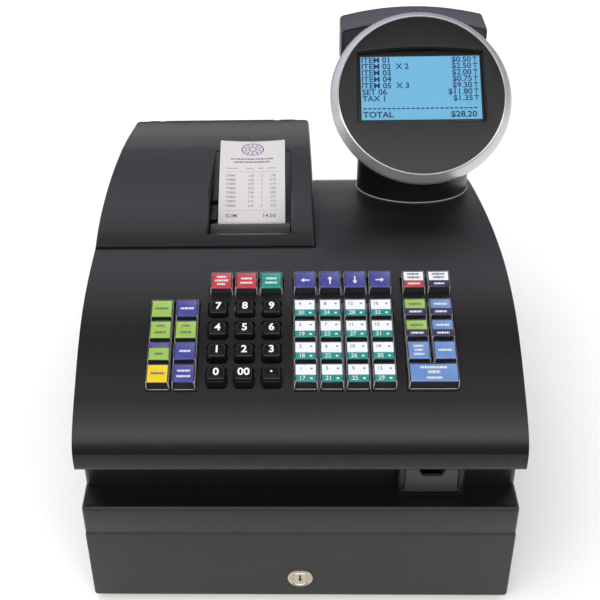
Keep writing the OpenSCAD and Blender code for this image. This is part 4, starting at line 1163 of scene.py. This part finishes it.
# round holes in the top, as (x, y, radius)
for x, y, radius in ((-140, 60, 2.1), (140, 60, 2.1), (-140, 380, 2.1), (140, 366, 2.1),
                     (0, 400, 12)):
    cut(cabinet, Shape().extrude("z", circle(radius, 32, x, y), (94, 104), "cabinet"))
soften(cabinet, width=0.35, angle=50)
flange = Shape().box(-HALF_WIDTH + SHEET, HALF_WIDTH - SHEET, SHEET, 14, 74.8, 76,
                     corner=0.3, edge=0.2, steps=3, mat="cabinet")
merge(cabinet, flange.build("flange"))
# upward faces of the top take the darker copy of the paint: painted shade from the case above
cabinet.data.materials.append(MAT["cabinet_top_painted_shade"])
for polygon in cabinet.data.polygons:
    if polygon.normal.z > 0.95 and polygon.center.z > (100.5 + ORIGIN_Z) * MM:
        polygon.material_index = len(cabinet.data.materials) - 1
place(cabinet, "register_body", "cabinet_paint", "cabinet_cover", name="cabinet_sheet")

# ------------------------------------------------------------ drawer front and lock
FRONT_HALF_Z = 36.9
# pan with a rolled front edge, as (y, inset)
pan = Shape().loft(
    [ring("y", rounded(HALF_WIDTH - inset, FRONT_HALF_Z - inset, max(3.0 - inset, 0.3), 5,
                       0, FRONT_HALF_Z), y)
     for y, inset in ((0, 2.4), (0.15, 1.2), (0.5, 0.5), (1.2, 0.1), (2.4, 0), (14, 0))],
    "cabinet").build("pan")
for outline, levels in (
        (rounded(HALF_WIDTH - SHEET, 35.7, 2, 4, 0, FRONT_HALF_Z), (1.3, 12.8)),
        (rounded(135, 23, 2, 4, 0, 33), (12, 16)),
        (circle(9.6, 64, LOCK_X, LOCK_Z), (-1, 5))):
    cut(pan, Shape().extrude("y", outline, levels, "cabinet"))
shade(pan)
place(pan, "cash_drawer", "cabinet_paint", "drawer_front", name="drawer_panel")

bezel_profile = [(6.05, -16), (6.05, 0.9), (7.0, 1.05), (7.5, 1.1), (7.9, 1.6), (8.3, 1.8),
                 (9.1, 1.7), (9.7, 1.3), (10.0, 0.6), (10.0, 0.0), (9.5, 0.0), (9.5, -16)]
shape = Shape().lathe(bezel_profile, "nickel", 72, lock)
# six-sided nut behind the panel, as (radius, z)
shape.loft([ring("z", circle(radius, 6), z, lock)
            for radius, z in ((13, -1.2), (13, -4.2), (9.4, -4.2), (9.4, -1.2), (13, -1.2))],
           "zinc", caps=False)
# small index mark on the bezel
shape.add([lock(0, 9.4, 1.72), lock(-0.7, 8.3, 1.84), lock(0.7, 8.3, 1.84)], [(0, 1, 2)], "ink")
place(shape.build("lock_bezel"), "cash_drawer", "nickel", "lock_body")

plug_profile = [(0.0, 1.15), (4.6, 1.15), (5.2, 1.3), (5.7, 1.2), (6.0, 0.8), (6.0, -17.4),
                (0.0, -17.4)]
plug = Shape().lathe(plug_profile, "nickel", 64, lock, closed=False).build("plug")
weld(plug)
# keyway: a tall slot and a short crossing one
# the cutters carry the near-black notch material: painted shade
for outline, levels in ((rect(-0.8, 0.8, -3.5, 3.5), (-6, 3)),
                        (rect(-1.4, 1.4, -2.0, -0.8), (-4, 3))):
    cut(plug, Shape().extrude("z", outline, levels, "notch", lock))
merge(plug, Shape().extrude("z", circle(2.5, 32), (-17, -21.4), "nickel", lock).build("stub"))
place(plug, "lock_cylinder", "nickel", "lock_plug", name="lock_core")

# ------------------------------------------------------------ floor (metres from here on)
bpy.ops.mesh.primitive_plane_add(size=12, location=(0, 0, 0))
floor = bpy.context.object
floor.name = "floor"
floor_mat = material("floor_white", color=(0.94, 0.94, 0.94), rough=0.7, vary=0.004, spec=0.1)
floor.data.materials.append(floor_mat)
# reflections see a sheet that ends a little in front of the machine
tree = floor_mat.node_tree
surface = tree.nodes["Principled BSDF"]
position = add_node(tree, "NewGeometry").outputs["Position"]
depth = add_node(tree, "SeparateXYZ", {"Vector": position}).outputs["Y"]
beyond = add_node(tree, "MapRange", {"From Min": -0.36, "From Max": -0.50, "Value": depth})
reflected = add_node(tree, "LightPath").outputs["Is Glossy Ray"]
darkening = math_node(tree, "MULTIPLY", beyond.outputs["Result"], reflected)
white = surface.inputs["Base Color"].links[0].from_socket
tint = add_node(tree, "Mix", {"Factor": darkening, "A": white, "B": (0.03, 0.03, 0.03, 1)},
                data_type="RGBA")
feed(surface, {"Base Color": tint.outputs["Result"]})
bpy.context.scene.view_settings.view_transform = "Standard"

# ------------------------------------------------------------ surroundings
world = bpy.data.worlds.new("studio")
bpy.context.scene.world = world
world.use_nodes = True
tree = world.node_tree
direction = add_node(tree, "TexCoord").outputs["Generated"]
parts = add_node(tree, "SeparateXYZ", {"Vector": direction}).outputs
forward = math_node(tree, "MULTIPLY", parts["Y"], -1.0)
elevation = math_node(tree, "ARCTAN2", parts["Z"], forward)
half_turn = math_node(tree, "DIVIDE", elevation, pi)
ramp = add_node(tree, "ValToRGB", {"Fac": half_turn})
# brightness from the front horizon (0) over the top (0.5) to the back horizon (1)
sky = [(0.0, 0.01), (0.07, 0.02), (0.13, 0.12), (0.18, 0.60), (0.235, 1.0), (0.285, 0.86),
       (0.33, 0.36), (0.375, 0.10), (0.43, 0.035), (0.52, 0.035), (0.59, 0.11), (0.66, 0.28),
       (0.73, 0.37), (0.80, 0.38), (0.87, 0.20), (0.94, 0.04), (1.0, 0.02)]
ramp.color_ramp.interpolation = "B_SPLINE"
stops = ramp.color_ramp.elements
stops[0].position, stops[1].position = sky[0][0], sky[-1][0]
for position, _ in sky[1:-1]:
    stops.new(position)
for stop, (position, value) in zip(sorted(stops, key=lambda stop: stop.position), sky):
    # bluer towards the back, warmer towards the front
    back, front = max(0.0, position - 0.55), max(0.0, 0.45 - position)
    stop.color = (value * (1 - 0.40 * back), value * (1 - 0.48 * back),
                  value * (1 - 0.25 * front), 1)
glow = tree.nodes["Background"]
feed(glow, {"Color": ramp.outputs["Color"], "Strength": 3.45})
# seen directly, the surroundings are as pale as the floor
pale = add_node(tree, "Background", {"Color": (1, 1, 1, 1), "Strength": 1.0})
seen = add_node(tree, "LightPath").outputs["Is Camera Ray"]
mixed = add_node(tree, "MixShader", {"Fac": seen, 1: glow.outputs["Background"],
                                     2: pale.outputs["Background"]})
feed(tree.nodes["World Output"], {"Surface": mixed.outputs["Shader"]})


def area(name, location, target, size, power, color=(1, 1, 1)):
    light = bpy.data.lights.new(name, "AREA")
    light.shape, light.energy, light.color = "RECTANGLE", power, color
    light.size, light.size_y = size
    lamp = add_object(name, light)
    lamp.location = location
    aim = Vector(target) - Vector(location)
    lamp.rotation_euler = aim.to_track_quat("-Z", "Y").to_euler()
    lamp.visible_glossy = False


area("key", location=(-0.5, -0.2, 1.6), target=(0, 0, 0.15), size=(1.2, 0.8), power=7.5)
area("front", location=(0.2, -1.35, 1.35), target=(0, 0, 0.12), size=(1.5, 0.4), power=4.5)
area("back", location=(0.0, 1.5, 1.3), target=(0, 0, 0.2), size=(1.6, 0.6), power=8,
     color=(0.97, 0.96, 1.0))


# ------------------------------------------------------------ camera
def turn_z(angle):
    return Matrix(((cos(angle), -sin(angle), 0), (sin(angle), cos(angle), 0), (0, 0, 1)))


# angles in radians
YAW, PITCH, ROLL = -0.04027375, 0.57563602, -0.03120994
tilt = Matrix(((1, 0, 0), (0, cos(PITCH), -sin(PITCH)), (0, sin(PITCH), cos(PITCH))))
z_up_to_y_down = Matrix(((1, 0, 0), (0, 0, -1), (0, 1, 0)))
look_down_minus_z = Matrix(((1, 0, 0), (0, -1, 0), (0, 0, -1)))
facing = (turn_z(ROLL) @ tilt @ z_up_to_y_down @ turn_z(YAW)).transposed() @ look_down_minus_z
lens = bpy.data.cameras.new("camera")
camera = add_object("camera", lens)
camera.matrix_world = Matrix.Translation(base(-3.508, -543.863, 736.366)) @ facing.to_4x4()
lens.sensor_width = 36.0
lens.lens = 65.0542284
# shifts are shares of the picture's width
lens.shift_x, lens.shift_y = 0.0753878467, -0.185073325
lens.clip_start = 0.02
bpy.context.scene.camera = camera
